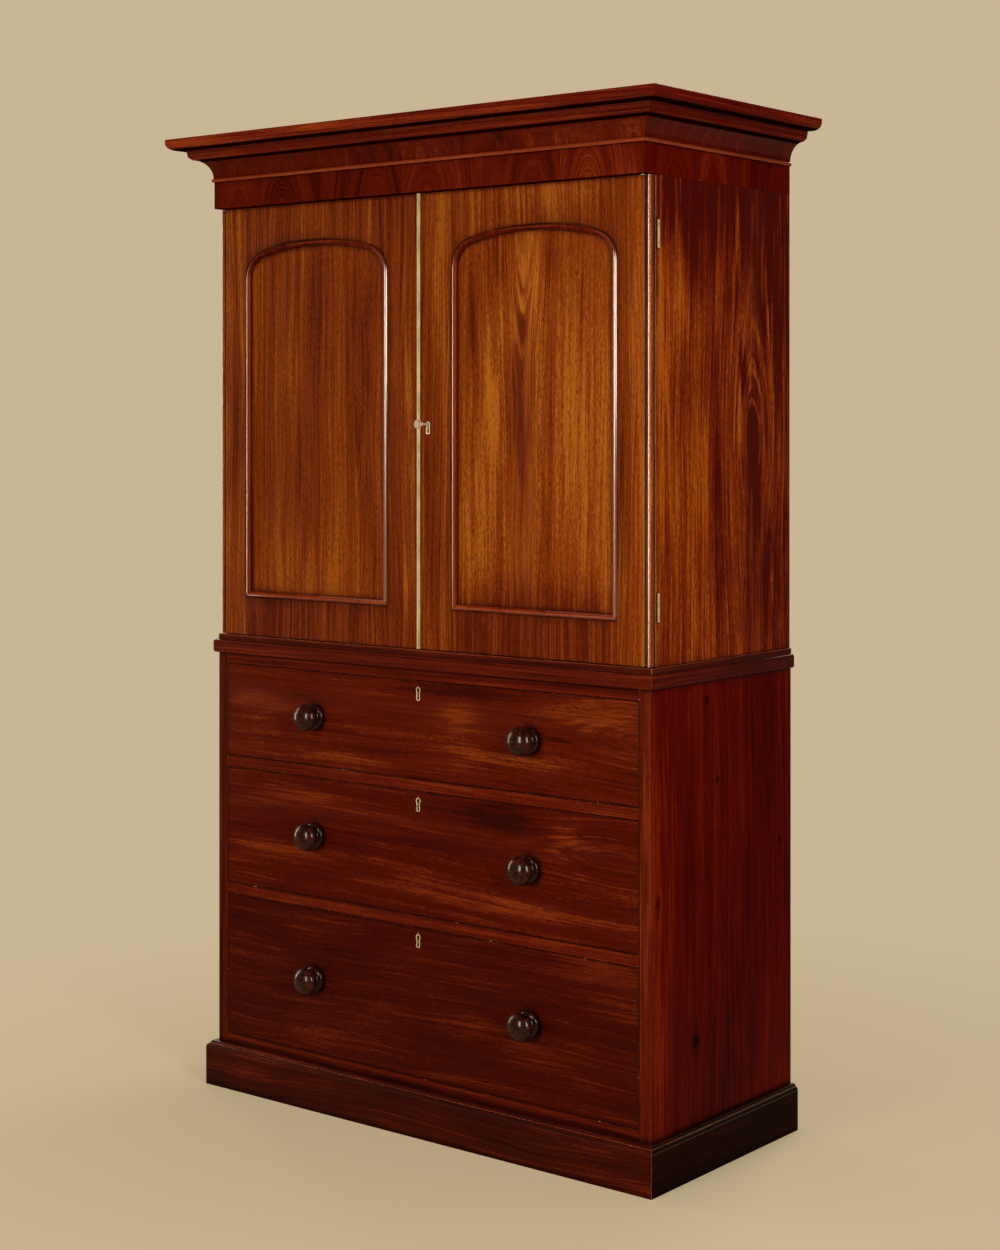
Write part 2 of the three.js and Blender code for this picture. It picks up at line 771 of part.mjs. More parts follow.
function lockCuts() {
  const edge = meetingEdge(1)
  const half = lock.height / 2 + seam
  const recess = box(
    edge - overrun, edge + lock.width + seam, lockFrontY - seam, door.thickness + overrun,
    keyHeight - half, keyHeight + half)
  return [recess, ...keyholeCuts(lock.keyFromCentre, keyHeight, lockFrontY + overrun)]
}

function boltMortise() {
  const edge = meetingEdge(-1)
  const depth = bolt.throwLength + bolt.endPlay
  const play = runningGap
  return box(
    edge - depth, edge + overrun, boltFrontY - play, boltBackY + play,
    keyHeight - bolt.height / 2 - play, keyHeight + bolt.height / 2 + play)
}

function buildLock() {
  const group = groupAt(press, 0, doorY, doorZ + keyHeight)
  const x0 = meetingEdge(1) + seam
  const x1 = meetingEdge(1) + lock.width
  const half = lock.height / 2
  const boltHalf = bolt.height / 2 + seam
  const caseSolid = cut(
    box(x0, x1, lockFrontY, lockBackY, -half, half),
    box(x0 + lock.wall, x1 - lock.wall, lockFrontY + lock.wall, lockBackY - lock.wall,
      lock.wall - half, half - lock.wall),
    box(x0 - overrun, x0 + lock.wall + overrun, boltFrontY - seam, boltBackY + seam, -boltHalf, boltHalf),
    prism('y', shift(keyholeOutline(0), lock.keyFromCentre, 0),
      lockFrontY - overrun, lockFrontY + lock.wall + overrun))
  piece(group, 'lock_case', caseSolid, 'brass')
  const boltSolid = box(x0, x0 + bolt.length, boltFrontY, boltBackY, -bolt.height / 2, bolt.height / 2)
  piece(group, 'lock_bolt', boltSolid, 'brass')
  escutcheon(group, 'door_escutcheon', lock.keyFromCentre, 0)
  piece(groupAt(press, lock.keyFromCentre, doorY, doorZ + keyHeight), 'key', keySolid(), 'iron')
}

function keySolid() {
  const bitY1 = boltFrontY - 2 * seam
  const bitY0 = lockFrontY + lock.wall + key.bitPlay
  const bowFoot = key.bowRadius - key.bowReach
  const ring = (radius) => arc(-key.bowReach, 0, radius, radius, 0, 360, key.sides).slice(1)
  const halfBow = key.bowThickness / 2
  return join(
    cylinderY(key.shankRadius, bowFoot - key.shankRadius, bitY1, key.sides),
    cylinderY(key.collarRadius, bowFoot, bowFoot + key.collarLength, key.sides),
    box(-key.bitWidth / 2, key.bitWidth / 2, bitY0, bitY1, -key.bitDrop, 0),
    prism('x', ring(key.bowRadius), -halfBow, halfBow, ring(key.bowHoleRadius)))
}

// Cornice: frieze, astragal, cove and projecting top in one section, mitred at the front corners

function corniceSection(inside) {
  const c = cornice
  const beadZ = c.friezeHeight
  const coveZ = beadZ + c.beadHeight
  const stepZ = coveZ + c.coveHeight
  const filletZ = stepZ + c.stepHeight
  const topZ = filletZ + c.filletHeight
  const crownZ = topZ + c.topHeight
  const r = c.topArris
  const noseReach = c.topReach - c.soffitReach
  const beadHalf = c.beadHeight / 2
  return [
    ...inside(crownZ),
    [0, 0],
    ...arc(0, beadZ + beadHalf, c.beadReach, beadHalf, -90, 90, 2 * arcSteps).slice(0, -1),
    ...arc(c.coveReach, coveZ, c.coveFoot - c.coveReach, c.coveHeight, 0, 90, 2 * arcSteps),
    [c.stepReach, filletZ], [c.filletReach, topZ], [c.soffitReach, topZ],
    ...arc(c.soffitReach, topZ + c.noseHeight, noseReach, c.noseHeight, -90, 0, arcSteps).slice(1),
    ...arc(c.topReach - r, crownZ - r, r, r, 0, 90, arcSteps),
  ]
}

function buildCornice() {
  const { friezeThickness, bearerDepth, bearerHeight, friezeProud } = cornice
  const faceY = frontY - friezeProud
  const frontSection = corniceSection((top) => [
    [-friezeThickness, top], [-friezeThickness, bearerHeight],
    [-bearerDepth, bearerHeight], [-bearerDepth, 0],
  ])
  const sideSection = corniceSection((top) => [[-friezeThickness, top], [-friezeThickness, 0]])
  const half = halfCupboard - seam
  const front = mouldingRun(frontSection, -half, half, 1, 1)
  piece(groupAt(press, 0, faceY, friezeZ), 'cornice_front', front, 'redMahogany')

  const length = caseDepth + friezeProud
  const right = turnRight(mouldingRun(sideSection, seam, length, 1, 0))
  const left = turnLeft(mouldingRun(sideSection, -length, -seam, 0, 1))
  piece(groupAt(press, halfCupboard, faceY, friezeZ), 'cornice_right', right, 'redMahogany')
  piece(groupAt(press, -halfCupboard, faceY, friezeZ), 'cornice_left', left, 'redMahogany')
}

buildPlinth()
buildChest()
drawerOpenings.forEach((height, i) => buildDrawer(height, i))
buildCupboard()
trayFloors.forEach((floor, i) => buildTray(floor, i))
buildDoor('right', 1)
buildDoor('left', -1)
buildLock()
buildCornice()

export default press
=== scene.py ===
"""Looks of the linen press: polished mahogany, brass and rosewood outside, and pine inside."""

import json
import math

import bmesh
import bpy
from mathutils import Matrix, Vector


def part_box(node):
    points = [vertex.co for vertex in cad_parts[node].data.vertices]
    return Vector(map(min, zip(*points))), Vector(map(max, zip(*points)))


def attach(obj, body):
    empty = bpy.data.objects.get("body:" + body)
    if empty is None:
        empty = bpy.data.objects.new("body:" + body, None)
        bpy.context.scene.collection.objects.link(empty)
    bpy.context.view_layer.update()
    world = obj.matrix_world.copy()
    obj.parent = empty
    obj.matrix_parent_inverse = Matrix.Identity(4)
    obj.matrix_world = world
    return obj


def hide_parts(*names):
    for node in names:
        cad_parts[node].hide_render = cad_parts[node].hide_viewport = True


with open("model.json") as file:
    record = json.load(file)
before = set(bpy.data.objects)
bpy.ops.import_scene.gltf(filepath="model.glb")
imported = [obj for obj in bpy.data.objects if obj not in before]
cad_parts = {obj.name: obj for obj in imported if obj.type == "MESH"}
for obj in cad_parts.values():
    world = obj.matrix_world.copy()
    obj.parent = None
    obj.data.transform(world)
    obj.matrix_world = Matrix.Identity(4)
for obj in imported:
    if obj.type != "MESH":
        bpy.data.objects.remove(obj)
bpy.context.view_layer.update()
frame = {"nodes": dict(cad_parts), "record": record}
nodes = frame["nodes"]
scene = bpy.context.scene


# Camera

LENS, SENSOR = 64.04, 36.0
SHIFT = -0.159  # the camera is level, and its picture is shifted down
CAMERA_PLACE = (2.9964, -3.7066, 1.4652)
CAMERA_TURN = 38.474  # degrees to the left of a look straight at the front


def place_camera():
    data = bpy.data.cameras.new("camera")
    data.lens = LENS
    data.sensor_width = SENSOR
    data.shift_y = SHIFT
    camera = bpy.data.objects.new("camera", data)
    camera.location = CAMERA_PLACE
    camera.rotation_euler = (math.radians(90), 0.0, math.radians(CAMERA_TURN))
    scene.collection.objects.link(camera)
    scene.camera = camera


place_camera()


# Colours

def shade(red, green, blue):
    """A colour as it shows on a screen, 0 to 255, made linear."""
    def linear(level):
        level /= 255
        return level / 12.92 if level <= 0.04045 else ((level + 0.055) / 1.055) ** 2.4
    return (linear(red), linear(green), linear(blue), 1.0)


BACKDROP = shade(201, 182, 148)
RED_SHEEN = (1.0, 0.55, 0.35, 1.0)


# Node trees

class Net:
    """A node tree in the making: each call adds a node and gives its output."""

    def __init__(self, tree):
        self.tree = tree

    def node(self, kind, inputs=(), **settings):
        made = self.tree.nodes.new("ShaderNode" + kind)
        for name, value in settings.items():
            setattr(made, name, value)
        for key, value in dict(inputs).items():
            if isinstance(value, bpy.types.NodeSocket):
                self.tree.links.new(value, made.inputs[key])
            else:
                made.inputs[key].default_value = value
        return made

    def math(self, operation, first, second=0.0, third=0.0, clamp=False):
        return self.node("Math", {0: first, 1: second, 2: third},
                         operation=operation, use_clamp=clamp).outputs[0]

    def add(self, first, second):
        return self.math("ADD", first, second)

    def times(self, first, second):
        return self.math("MULTIPLY", first, second)

    def less(self, first, second):
        return self.math("SUBTRACT", first, second)

    def size(self, value):
        return self.math("ABSOLUTE", value)

    def squares(self, first, second):
        return self.add(self.times(first, first), self.times(second, second))

    def length(self, first, second):
        return self.math("SQRT", self.squares(first, second))

    def vector(self, operation, first, second):
        return self.node("VectorMath", {0: first, 1: second}, operation=operation).outputs[0]

    def split(self, vector):
        return self.node("SeparateXYZ", {0: vector}).outputs

    def join(self, x, y, z):
        return self.node("CombineXYZ", {0: x, 1: y, 2: z}).outputs[0]

    def ramp(self, value, low, high, start=0.0, end=1.0, kind="LINEAR"):
        """value from low to high turned evenly into start to end."""
        return self.node("MapRange", {"Value": value, "From Min": low, "From Max": high, "To Min": start,
                                      "To Max": end}, interpolation_type=kind).outputs[0]

    def span(self, value, low, high, start=0.0, end=1.0):
        """value from low to high eased into start to end."""
        return self.ramp(value, low, high, start, end, "SMOOTHSTEP")

    def noise(self, vector, scale, detail=2.0, roughness=0.5):
        """Soft noise with scale ups and downs to the metre across, through and along a board."""
        stretched = self.vector("MULTIPLY", vector, scale)
        return self.node("TexNoise", {"Vector": stretched, "Scale": 1.0, "Detail": detail,
                                      "Roughness": roughness}).outputs[0]

    def drift(self, vector, scale, detail=2.0, roughness=0.5):
        """The same noise, up and down about 0."""
        return self.less(self.noise(vector, scale, detail, roughness), 0.5)

    def mix(self, share, first, second, blend="MIX"):
        return self.node("Mix", {0: share, 6: first, 7: second},
                         data_type="RGBA", blend_type=blend).outputs[2]

    def stain(self, share, color, glaze):
        """The colour as seen through a glaze (red, green, blue) that covers a share of it."""
        return self.mix(share, color, self.mix(1.0, color, (*glaze, 1.0), "MULTIPLY"))

    def group(self, tree, inputs):
        return self.node("Group", inputs, node_tree=tree).outputs

    def place(self):
        return self.node("TexCoord").outputs["Object"]


SOCKETS = {1: "NodeSocketFloat", 3: "NodeSocketVector", 4: "NodeSocketColor"}


def new_group(name, inputs, outputs):
    """An empty group with named sockets: its net, what it is given and what it gives."""
    tree = bpy.data.node_groups.new(name, "ShaderNodeTree")
    for label, value in inputs.items():
        size = len(value) if isinstance(value, tuple) else 1
        socket = tree.interface.new_socket(label, in_out="INPUT", socket_type=SOCKETS[size])
        socket.default_value = value
    for label, size in outputs.items():
        tree.interface.new_socket(label, in_out="OUTPUT", socket_type=SOCKETS[size])
    return Net(tree), tree.nodes.new("NodeGroupInput").outputs, tree.nodes.new("NodeGroupOutput").inputs


def close_group(net, gives, values):
    for label, value in values.items():
        net.tree.links.new(value, gives[label])
    return net.tree


def make_figure_group():
    """Turns a board's own directions into ring, through, along: lines of even ring follow the grain.

    The rings close in ovals round Heart (across) and Middle (along); Tilt sets how slim the ovals are
    and Limit how far they reach before the grain runs straight.
    """
    net, given, gives = new_group(
        "board figure",
        {"Board": (0.0, 0.0, 0.0), "Heart": 1.0, "Middle": 0.0, "Tilt": 0.0, "Limit": 1.0, "Wander": 0.01,
         "Seed": 0.0},
        {"Vector": 3})
    start = net.join(net.times(given["Seed"], 3.1), net.times(given["Seed"], 1.7), given["Seed"])
    vector = net.vector("ADD", given["Board"], start)
    slow = net.drift(vector, (2.6, 2.6, 0.9), 1.0)
    quick = net.drift(vector, (11.0, 11.0, 3.2), 1.0)
    across, through, along = net.split(given["Board"])
    sway = net.times(given["Wander"], net.add(net.times(slow, 3.0), net.times(quick, 0.8)))
    offset = net.less(net.add(across, sway), given["Heart"])
    rise = net.times(given["Tilt"], net.less(along, given["Middle"]))
    share = net.math("DIVIDE", rise, given["Limit"])
    rise = net.math("DIVIDE", rise, net.math("SQRT", net.math("MULTIPLY_ADD", share, share, 1.0)))
    ring = net.length(offset, rise)
    half = net.span(offset, -0.04, 0.04, 0.0, 0.2)
    return close_group(net, gives, {"Vector": net.join(ring, net.add(through, half), along)})


def make_mahogany_group():
    """Colour, roughness and height of polished mahogany along the figure."""
    net, given, gives = new_group(
        "mahogany",
        {"Vector": (0.0, 0.0, 0.0), "Seed": 0.0, "Dark": shade(70, 20, 6), "Mid": shade(110, 45, 15),
         "Light": shade(150, 80, 30), "Contrast": 1.0, "Mottle": 0.0, "Shift": 0.0, "Fleck": 0.5,
         "Pores": 0.5},
        {"Color": 4, "Roughness": 1, "Height": 1})
    start = net.join(*(net.times(given["Seed"], share) for share in (2.3, 1.1, 5.9)))
    vector = net.vector("ADD", given["Vector"], start)
    cloud = net.drift(vector, (5.0, 5.0, 1.7))
    broad = net.drift(vector, (27.0, 27.0, 0.9))
    medium = net.drift(vector, (125.0, 125.0, 1.5), 2.0, 0.6)
    fine = net.drift(vector, (380.0, 380.0, 5.0), 2.0, 0.6)
    fleck = net.drift(vector, (520.0, 520.0, 110.0), 2.0, 0.6)
    pores = net.span(net.noise(vector, (760.0, 760.0, 70.0), 1.0), 0.55, 0.65)
    mottle = net.drift(vector, (24.0, 24.0, 4.0), 3.0, 0.65)
    wave = net.add(net.add(net.times(cloud, 0.9), net.times(broad, 0.8)),
                   net.add(net.times(medium, 1.25), net.times(fine, 1.35)))
    tone = net.math("MULTIPLY_ADD", wave, given["Contrast"], net.add(given["Shift"], 0.5))
    tone = net.math("MULTIPLY_ADD", mottle, given["Mottle"], tone)
    tone = net.math("MULTIPLY_ADD", net.times(fleck, given["Fleck"]), 1.2, tone)
    low = net.mix(net.span(tone, 0.0, 0.5), given["Dark"], given["Mid"])
    color = net.mix(net.span(tone, 0.5, 1.0), low, given["Light"])
    pore_share = net.times(pores, given["Pores"])
    return close_group(net, gives, {
        "Color": net.stain(pore_share, color, (0.42, 0.3, 0.25)),
        "Roughness": net.add(net.times(pore_share, 0.2), net.times(fine, 0.12)),
        "Height": net.less(net.times(fine, 0.25), pore_share)})


def make_knot_group():
    """Grain that parts round a knot: the bent board, the knot's dark heart and the rings round it."""
    net, given, gives = new_group(
        "knot",
        {"Board": (0.0, 0.0, 0.0), "Across": 0.0, "Along": 0.0, "Half Width": 0.02, "Half Length": 0.05},
        {"Board": 3, "Mask": 1, "Rings": 1})
    across, through, along = net.split(given["Board"])
    wobble = net.drift(given["Board"], (24.0, 24.0, 11.0))
    offset = net.less(across, given["Across"])
    wide = net.math("DIVIDE", offset, given["Half Width"])
    long = net.math("DIVIDE", net.less(along, given["Along"]), given["Half Length"])
    square = net.squares(wide, long)
    near = net.math("EXPONENT", net.times(square, -0.3))
    bend = net.times(net.times(offset, near), -0.85)
    reach = net.add(net.math("SQRT", square), net.times(wobble, 0.8))
    ring_place = net.join(net.times(reach, 3.4), given["Across"], net.times(long, 0.35))
    rings = net.span(net.noise(ring_place, (1.0, 1.0, 1.0), 2.0, 0.6), 0.4, 0.62)
    return close_group(net, gives, {
        "Board": net.join(net.add(across, bend), through, along),
        "Mask": net.span(reach, 0.35, 1.2, 1.0, 0.0),
        "Rings": net.times(rings, net.span(reach, 0.8, 2.4, 1.0, 0.0))})


def make_fan_group():
    """Crossbanded veneer: sheets side by side, mirrored in turn, with rings that fan out from each foot."""
    net, given, gives = new_group(
        "veneer fan", {"Board": (0.0, 0.0, 0.0), "Sheet": 0.2, "Foot": 1.95, "Arch": 0.7, "Offset": 0.0},
        {"Board": 3, "Number": 1, "Joint": 1})
    across, through, along = net.split(given["Board"])
    count = net.math("DIVIDE", net.add(across, given["Offset"]), given["Sheet"])
    number = net.math("FLOOR", count)
    local = net.less(net.less(count, number), 0.5)
    odd = net.math("FLOORED_MODULO", number, 2.0)
    mirrored = net.times(local, net.less(1.0, net.times(odd, 2.0)))
    wide = net.times(net.add(mirrored, 0.17), given["Sheet"])
    rise = net.times(net.less(along, given["Foot"]), given["Arch"])
    ring = net.length(wide, rise)
    lean = net.math("MULTIPLY_ADD", net.times(rise, rise), 1.2, ring)
    own_grain = net.math("MULTIPLY_ADD", number, 0.61, through)
    return close_group(net, gives, {
        "Board": net.join(net.times(lean, 1.5), own_grain, along),
        "Number": number,
        "Joint": net.span(net.size(local), 0.4955, 0.499)})


def make_crease_shade_group():
    """1 deep in a crease or a narrow gap, 0 in the open: the mask of painted shade there."""
    net, given, gives = new_group("crease", {"Reach": 0.012}, {"Mask": 1})
    closed = net.node("AmbientOcclusion", {"Distance": given["Reach"]}, samples=4)
    return close_group(net, gives, {"Mask": net.ramp(closed.outputs["AO"], 0.6, 1.0, 1.0, 0.0)})


CREASE_SHADE = make_crease_shade_group()
FIGURE = make_figure_group()
MAHOGANY = make_mahogany_group()
KNOT = make_knot_group()
FAN = make_fan_group()


# Materials

MATERIALS = {}


def new_material(name):
    """The net of an empty material, which is kept under its name."""
    MATERIALS[name] = bpy.data.materials.new(name)
    MATERIALS[name].use_nodes = True
    MATERIALS[name].node_tree.nodes.clear()
    return Net(MATERIALS[name].node_tree)


def finish_material(net, color, roughness, height, bump=0.3, depth=0.0004, specular=0.3, coat=0.0,
                    coat_roughness=0.12, coat_ior=1.5, metallic=0.0, tint=(1.0, 1.0, 1.0, 1.0)):
    relief = net.node("Bump", {"Strength": bump, "Distance": depth, "Height": height})
    shader = net.node("BsdfPrincipled", {
        "Base Color": color, "Roughness": roughness, "Metallic": metallic, "Specular Tint": tint,
        "Specular IOR Level": specular, "Coat Weight": coat, "Coat Roughness": coat_roughness,
        "Coat IOR": coat_ior, "Normal": relief.outputs[0]})
    net.node("OutputMaterial", {0: shader.outputs[0]})


def board_of(net, directions):
    """Object coordinates as across, through, along a board: "xyz" is upright grain seen from the front."""
    parts = net.split(net.place())
    return net.join(*(parts["xyz".index(letter)] for letter in directions))


def patch(net, place, middle_across, middle_along, half_across, half_along, turn=0.0):
    """A soft streaky spot on the board, 1 in its middle."""
    across, _, along = net.split(place)
    u = net.less(across, middle_across)
    v = net.less(along, middle_along)
    c, s = math.cos(turn), math.sin(turn)
    first = net.math("DIVIDE", net.add(net.times(u, c), net.times(v, s)), half_across)
    second = net.math("DIVIDE", net.less(net.times(v, c), net.times(u, s)), half_along)
    square = net.squares(first, second)
    streaks = net.span(net.noise(place, (70.0, 70.0, 5.0), 3.0, 0.6), 0.36, 0.62, 0.3, 1.15)
    return net.times(net.math("EXPONENT", net.times(square, -1.1)), streaks)


def edge_shade(net, place, low_across, high_across, low_along, high_along, reach):
    """Painted shade along the four edges of a board, by the gaps round it, uneven along them."""
    across, _, along = net.split(place)
    gap = net.math("MINIMUM",
                   net.math("MINIMUM", net.less(across, low_across), net.less(high_across, across)),
                   net.math("MINIMUM", net.less(along, low_along), net.less(high_along, along)))
    uneven = net.times(net.drift(place, (22.0, 22.0, 22.0)), reach * 1.6)
    return net.times(net.span(net.add(gap, uneven), reach * 0.25, reach, 1.0, 0.0), 0.85)


def part_grain(net, board, knots):
    """The board's grain bent round its knots, and for each knot the masks of its heart and its rings."""
    masks = []
    for across, along, half_width, half_length, darkness in knots:
        out = net.group(KNOT, {"Board": board, "Across": across, "Along": along,
                               "Half Width": half_width, "Half Length": half_length})
        board = out["Board"]
        masks.append((net.times(out["Mask"], darkness), net.times(out["Rings"], darkness * 0.8)))
    return board, masks


def mahogany(name, tones, directions="xyz", seed=0.0, heart=1.6, ovals=(0.0, 0.0, 1.0), wander=0.012,
             contrast=1.0, mottle=0.0, fleck=0.5, pores=0.5, gloss=0.3, coat=0.0, coat_ior=1.5,
             coat_roughness=0.12, specular=0.1, shade_in_creases=0.9, reach=0.014, bump=0.25, patches=(), arches=(),
             knots=(), boards=None, joints=None, edges=None, fan=None, polish=None, wear=0.0):
    """Polished mahogany.

    tones are its dark, middle and light colours. heart is where the rings close across the board, and
    ovals their middle along it, tilt and limit. patches and arches are (across, along, half width, half
    length, strength), and a patch may add its turn: a patch shifts the tone, and in an arch single rings
    show. knots are (across, along, half width, half length, darkness). boards makes a seed and a shift
    from the place; on the bead and the frame's eased edges that shift is painted highlight and shade.
    joints makes dark joint lines and painted shade. edges (low and high across, low and high
    along, reach) paints shade along its own edges, and shade_in_creases paints shade in its creases up
    to reach. fan is the sheet, foot, arch and offset of crossbanding. polish makes a mask of the
    brightest gloss, and wear shows chips of bare wood.
    """
    net = new_material(name)
    place = board_of(net, directions)
    board, seeds, shift = place, seed, 0.0
    lines = []
    if fan:
        sheet, foot, arch, offset = fan
        out = net.group(FAN, {"Board": place, "Sheet": sheet, "Foot": foot, "Arch": arch, "Offset": offset})
        board = out["Board"]
        by_sheet = net.node("TexWhiteNoise", {"W": out["Number"]}, noise_dimensions="1D")
        shift = net.ramp(by_sheet.outputs["Value"], 0.0, 1.0, -0.14, 0.12)
        lines.append(net.times(out["Joint"], 0.5))
    if boards:
        seeds, shift = boards(net, place)
    board, knot_masks = part_grain(net, board, knots)
    middle, tilt, limit = ovals
    figure = net.group(FIGURE, {"Board": board, "Heart": heart, "Middle": middle, "Tilt": tilt,
                                "Limit": limit, "Wander": wander, "Seed": seeds})[0]
    for *spot, strength in arches:
        single_rings = net.less(net.noise(figure, (210.0, 3.0, 3.0), 3.0, 0.55), 0.48)
        shown = net.times(single_rings, patch(net, place, *spot))
        shift = net.math("MULTIPLY_ADD", shown, strength, shift)
    for across, along, half_width, half_length, strength, *turn in patches:
        spot = patch(net, place, across, along, half_width, half_length, *turn)
        shift = net.math("MULTIPLY_ADD", spot, strength, shift)
    dark, mid, light = (shade(*tone) for tone in tones)
    out = net.group(MAHOGANY, {"Vector": figure, "Seed": seeds, "Dark": dark, "Mid": mid, "Light": light,
                               "Contrast": contrast, "Mottle": mottle, "Shift": shift, "Fleck": fleck,
                               "Pores": pores})
    color = out["Color"]
    for heart_mask, ring_mask in knot_masks:
        color = net.stain(ring_mask, color, (0.42, 0.22, 0.3))
        color = net.stain(heart_mask, color, (0.1, 0.04, 0.06))
    if joints:
        lines += joints(net, place)
    if edges:
        lines.append(edge_shade(net, place, *edges))
    # Dark lines: real joints, and painted shade along gaps, edges and round the arches
    for share in lines:
        color = net.stain(share, color, (0.1, 0.06, 0.08))
    # Painted shade: creases and narrow gaps darkened
    crease = net.times(net.group(CREASE_SHADE, {"Reach": reach})["Mask"], shade_in_creases)
    color = net.stain(crease, color, (0.12, 0.06, 0.05))
    if wear:
        chips = net.span(net.noise(place, (75.0, 75.0, 75.0), 3.0, 0.7), 0.66, 0.72)
        color = net.mix(net.times(chips, wear), color, shade(214, 168, 128))
    height = out["Height"]
    if polish:
        gleam = polish(net, place)
        coat = net.math("MAXIMUM", coat, gleam)
        height = net.times(height, net.less(1.0, gleam))
    if polish or coat:
        grazing = net.node("LayerWeight", {"Blend": 0.5}).outputs["Facing"]
        coat = net.times(coat, net.span(grazing, 0.75, 0.92, 1.0, 0.0))
    roughness = net.add(out["Roughness"], gloss)
    finish_material(net, color, roughness, height, bump=bump, specular=specular, coat=coat,
                    coat_roughness=coat_roughness, coat_ior=coat_ior, tint=RED_SHEEN)


def line(net, value, at, half):
    """1 on a thin line where value is at, else 0."""
    return net.span(net.size(net.less(value, at)), half * 0.4, half, 1.0, 0.0)


def between(net, value, low, high, soft=0.0005):
    return net.times(net.span(value, low - soft, low + soft),
                     net.span(value, high - soft, high + soft, 1.0, 0.0))


# Doors' woods

WARM = (90, 26, 4), (127, 55, 10), (164, 94, 24)
WARM_LEFT = (80, 22, 3), (116, 46, 6), (150, 78, 16)
FRAME = (80, 22, 3), (115, 46, 8), (152, 82, 20)
BEAD = (62, 12, 3), (108, 34, 8), (146, 60, 18)

# A door's arched opening: its sides from the press's middle, its foot and spring above the floor
ARCH_INNER, ARCH_OUTER = 0.088, 0.5025
ARCH_FOOT, ARCH_SPRING, ARCH_RISE = 1.089, 1.79, 0.078
ARCH_POWER = 2.6

# Each pair is where a mask starts and ends
DOOR_FRONT = (-0.2, -0.198)
CORNER_BEAD, CORNER_BEAD_DEPTH = (0.5738, 0.5797), (-0.1995, -0.1985)
TOP_RAIL = (1.5, 1.501)
BEAD_FOOT, BEAD_SHOULDER = (1.094, 1.1), (1.78, 1.81)
# Along the bead: the coat's side, a painted highlight on the crest, and painted shade on the arch
BEAD_LIT_SIDE, BEAD_CREST_HIGHLIGHT, BEAD_ARCH_SHADE = (-0.0065, -0.005), (-0.0075, -0.0045), (1.79, 1.81)


def arch_reach(net, place):
    """How far a place lies outside the outline of a door's arched opening, less than 0 inside."""
    across, _, along = net.split(place)
    half = (ARCH_OUTER - ARCH_INNER) / 2
    offset = net.less(net.size(across), ARCH_INNER + half)
    wide = net.times(net.size(offset), 1 / half)
    high = net.times(net.math("MAXIMUM", net.less(along, ARCH_SPRING), 0.0), 1 / ARCH_RISE)
    wide_part = net.math("POWER", wide, ARCH_POWER)
    high_part = net.math("POWER", high, ARCH_POWER)
    total = net.add(wide_part, high_part)
    size = net.ramp(net.math("DIVIDE", high_part, total), 0.0, 1.0, half, ARCH_RISE)
    round_top = net.times(net.less(net.math("POWER", total, 1 / ARCH_POWER), 1.0), size)
    return net.math("MAXIMUM", round_top, net.less(ARCH_FOOT, along))


def arch_painted_shade(net, place):
    """Painted shade on both sides of the bead round a door's arch, uneven, on the door's front only."""
    distance = net.size(arch_reach(net, place))
    wide = net.noise(place, (7.0, 7.0, 5.0), 3.0, 0.6)
    uneven = net.times(net.less(wide, 0.5), 0.05)
    in_front = net.span(net.split(place)[1], *DOOR_FRONT, 1.0, 0.0)
    strength = net.times(net.span(wide, 0.35, 0.65, 0.85, 0.45), in_front)
    halo = net.span(net.add(distance, uneven), 0.004, 0.022, 0.35, 0.0)
    quirk = net.span(distance, 0.001, 0.0045, 0.6, 0.0)
    return [net.times(net.add(halo, quirk), strength)]


def make_door_frame(name, side, seed, patches):
    """A door's frame: stiles and rails are boards of their own, all with upright grain."""
    inner, outer = sorted((side * ARCH_INNER, side * ARCH_OUTER))

    def boards(net, place):
        across, _, along = net.split(place)
        middle = between(net, across, inner, outer)
        right = net.span(across, outer - 0.0005, outer + 0.0005)
        top = net.times(middle, net.span(along, *TOP_RAIL))
        seeds = net.add(net.add(net.times(middle, 3.7), net.times(right, 7.9)),
                        net.add(net.times(top, 5.3), seed))
        foot = net.less(middle, top)
        return seeds, net.add(net.times(foot, -0.3), net.times(top, -0.1))

    def joints(net, place):
        across, _, along = net.split(place)
        ends = net.add(net.span(along, ARCH_FOOT - 0.001, ARCH_FOOT, 1.0, 0.0),
                       net.span(along, ARCH_SPRING, ARCH_SPRING + 0.001))
        made = [net.times(ends, net.times(line(net, across, edge, 0.0012), 0.7)) for edge in (inner, outer)]
        return made + arch_painted_shade(net, place)

    def polish(net, place):
        across, through, _ = net.split(place)
        bead = net.times(between(net, net.size(across), *CORNER_BEAD),
                         net.span(through, *CORNER_BEAD_DEPTH, 1.0, 0.0))
        return net.times(bead, 1.0 if side > 0 else 0.45)

    mahogany(name, FRAME, heart=2.0 * side, wander=0.02, contrast=1.1, fleck=0.7, pores=0.8, reach=0.01,
             coat_ior=2.4, coat_roughness=0.2, boards=boards, joints=joints, patches=patches, polish=polish)


def bead_polish(net, place):
    height = net.split(place)[2]
    upright = net.times(net.span(height, *BEAD_FOOT, 0.3, 1.0), net.span(height, *BEAD_SHOULDER, 1.0, 0.3))
    return net.times(upright, net.span(arch_reach(net, place), *BEAD_LIT_SIDE))


# Painted light on the bead: a lighter line along its crest as a highlight, and its arched top darker as
# shade
def bead_painted_light(net, place):
    crest_highlight = between(net, arch_reach(net, place), *BEAD_CREST_HIGHLIGHT, 0.001)
    arched = net.span(net.split(place)[2], *BEAD_ARCH_SHADE)
    return 2.0, net.math("MULTIPLY_ADD", crest_highlight, 0.45, net.times(arched, -0.35))


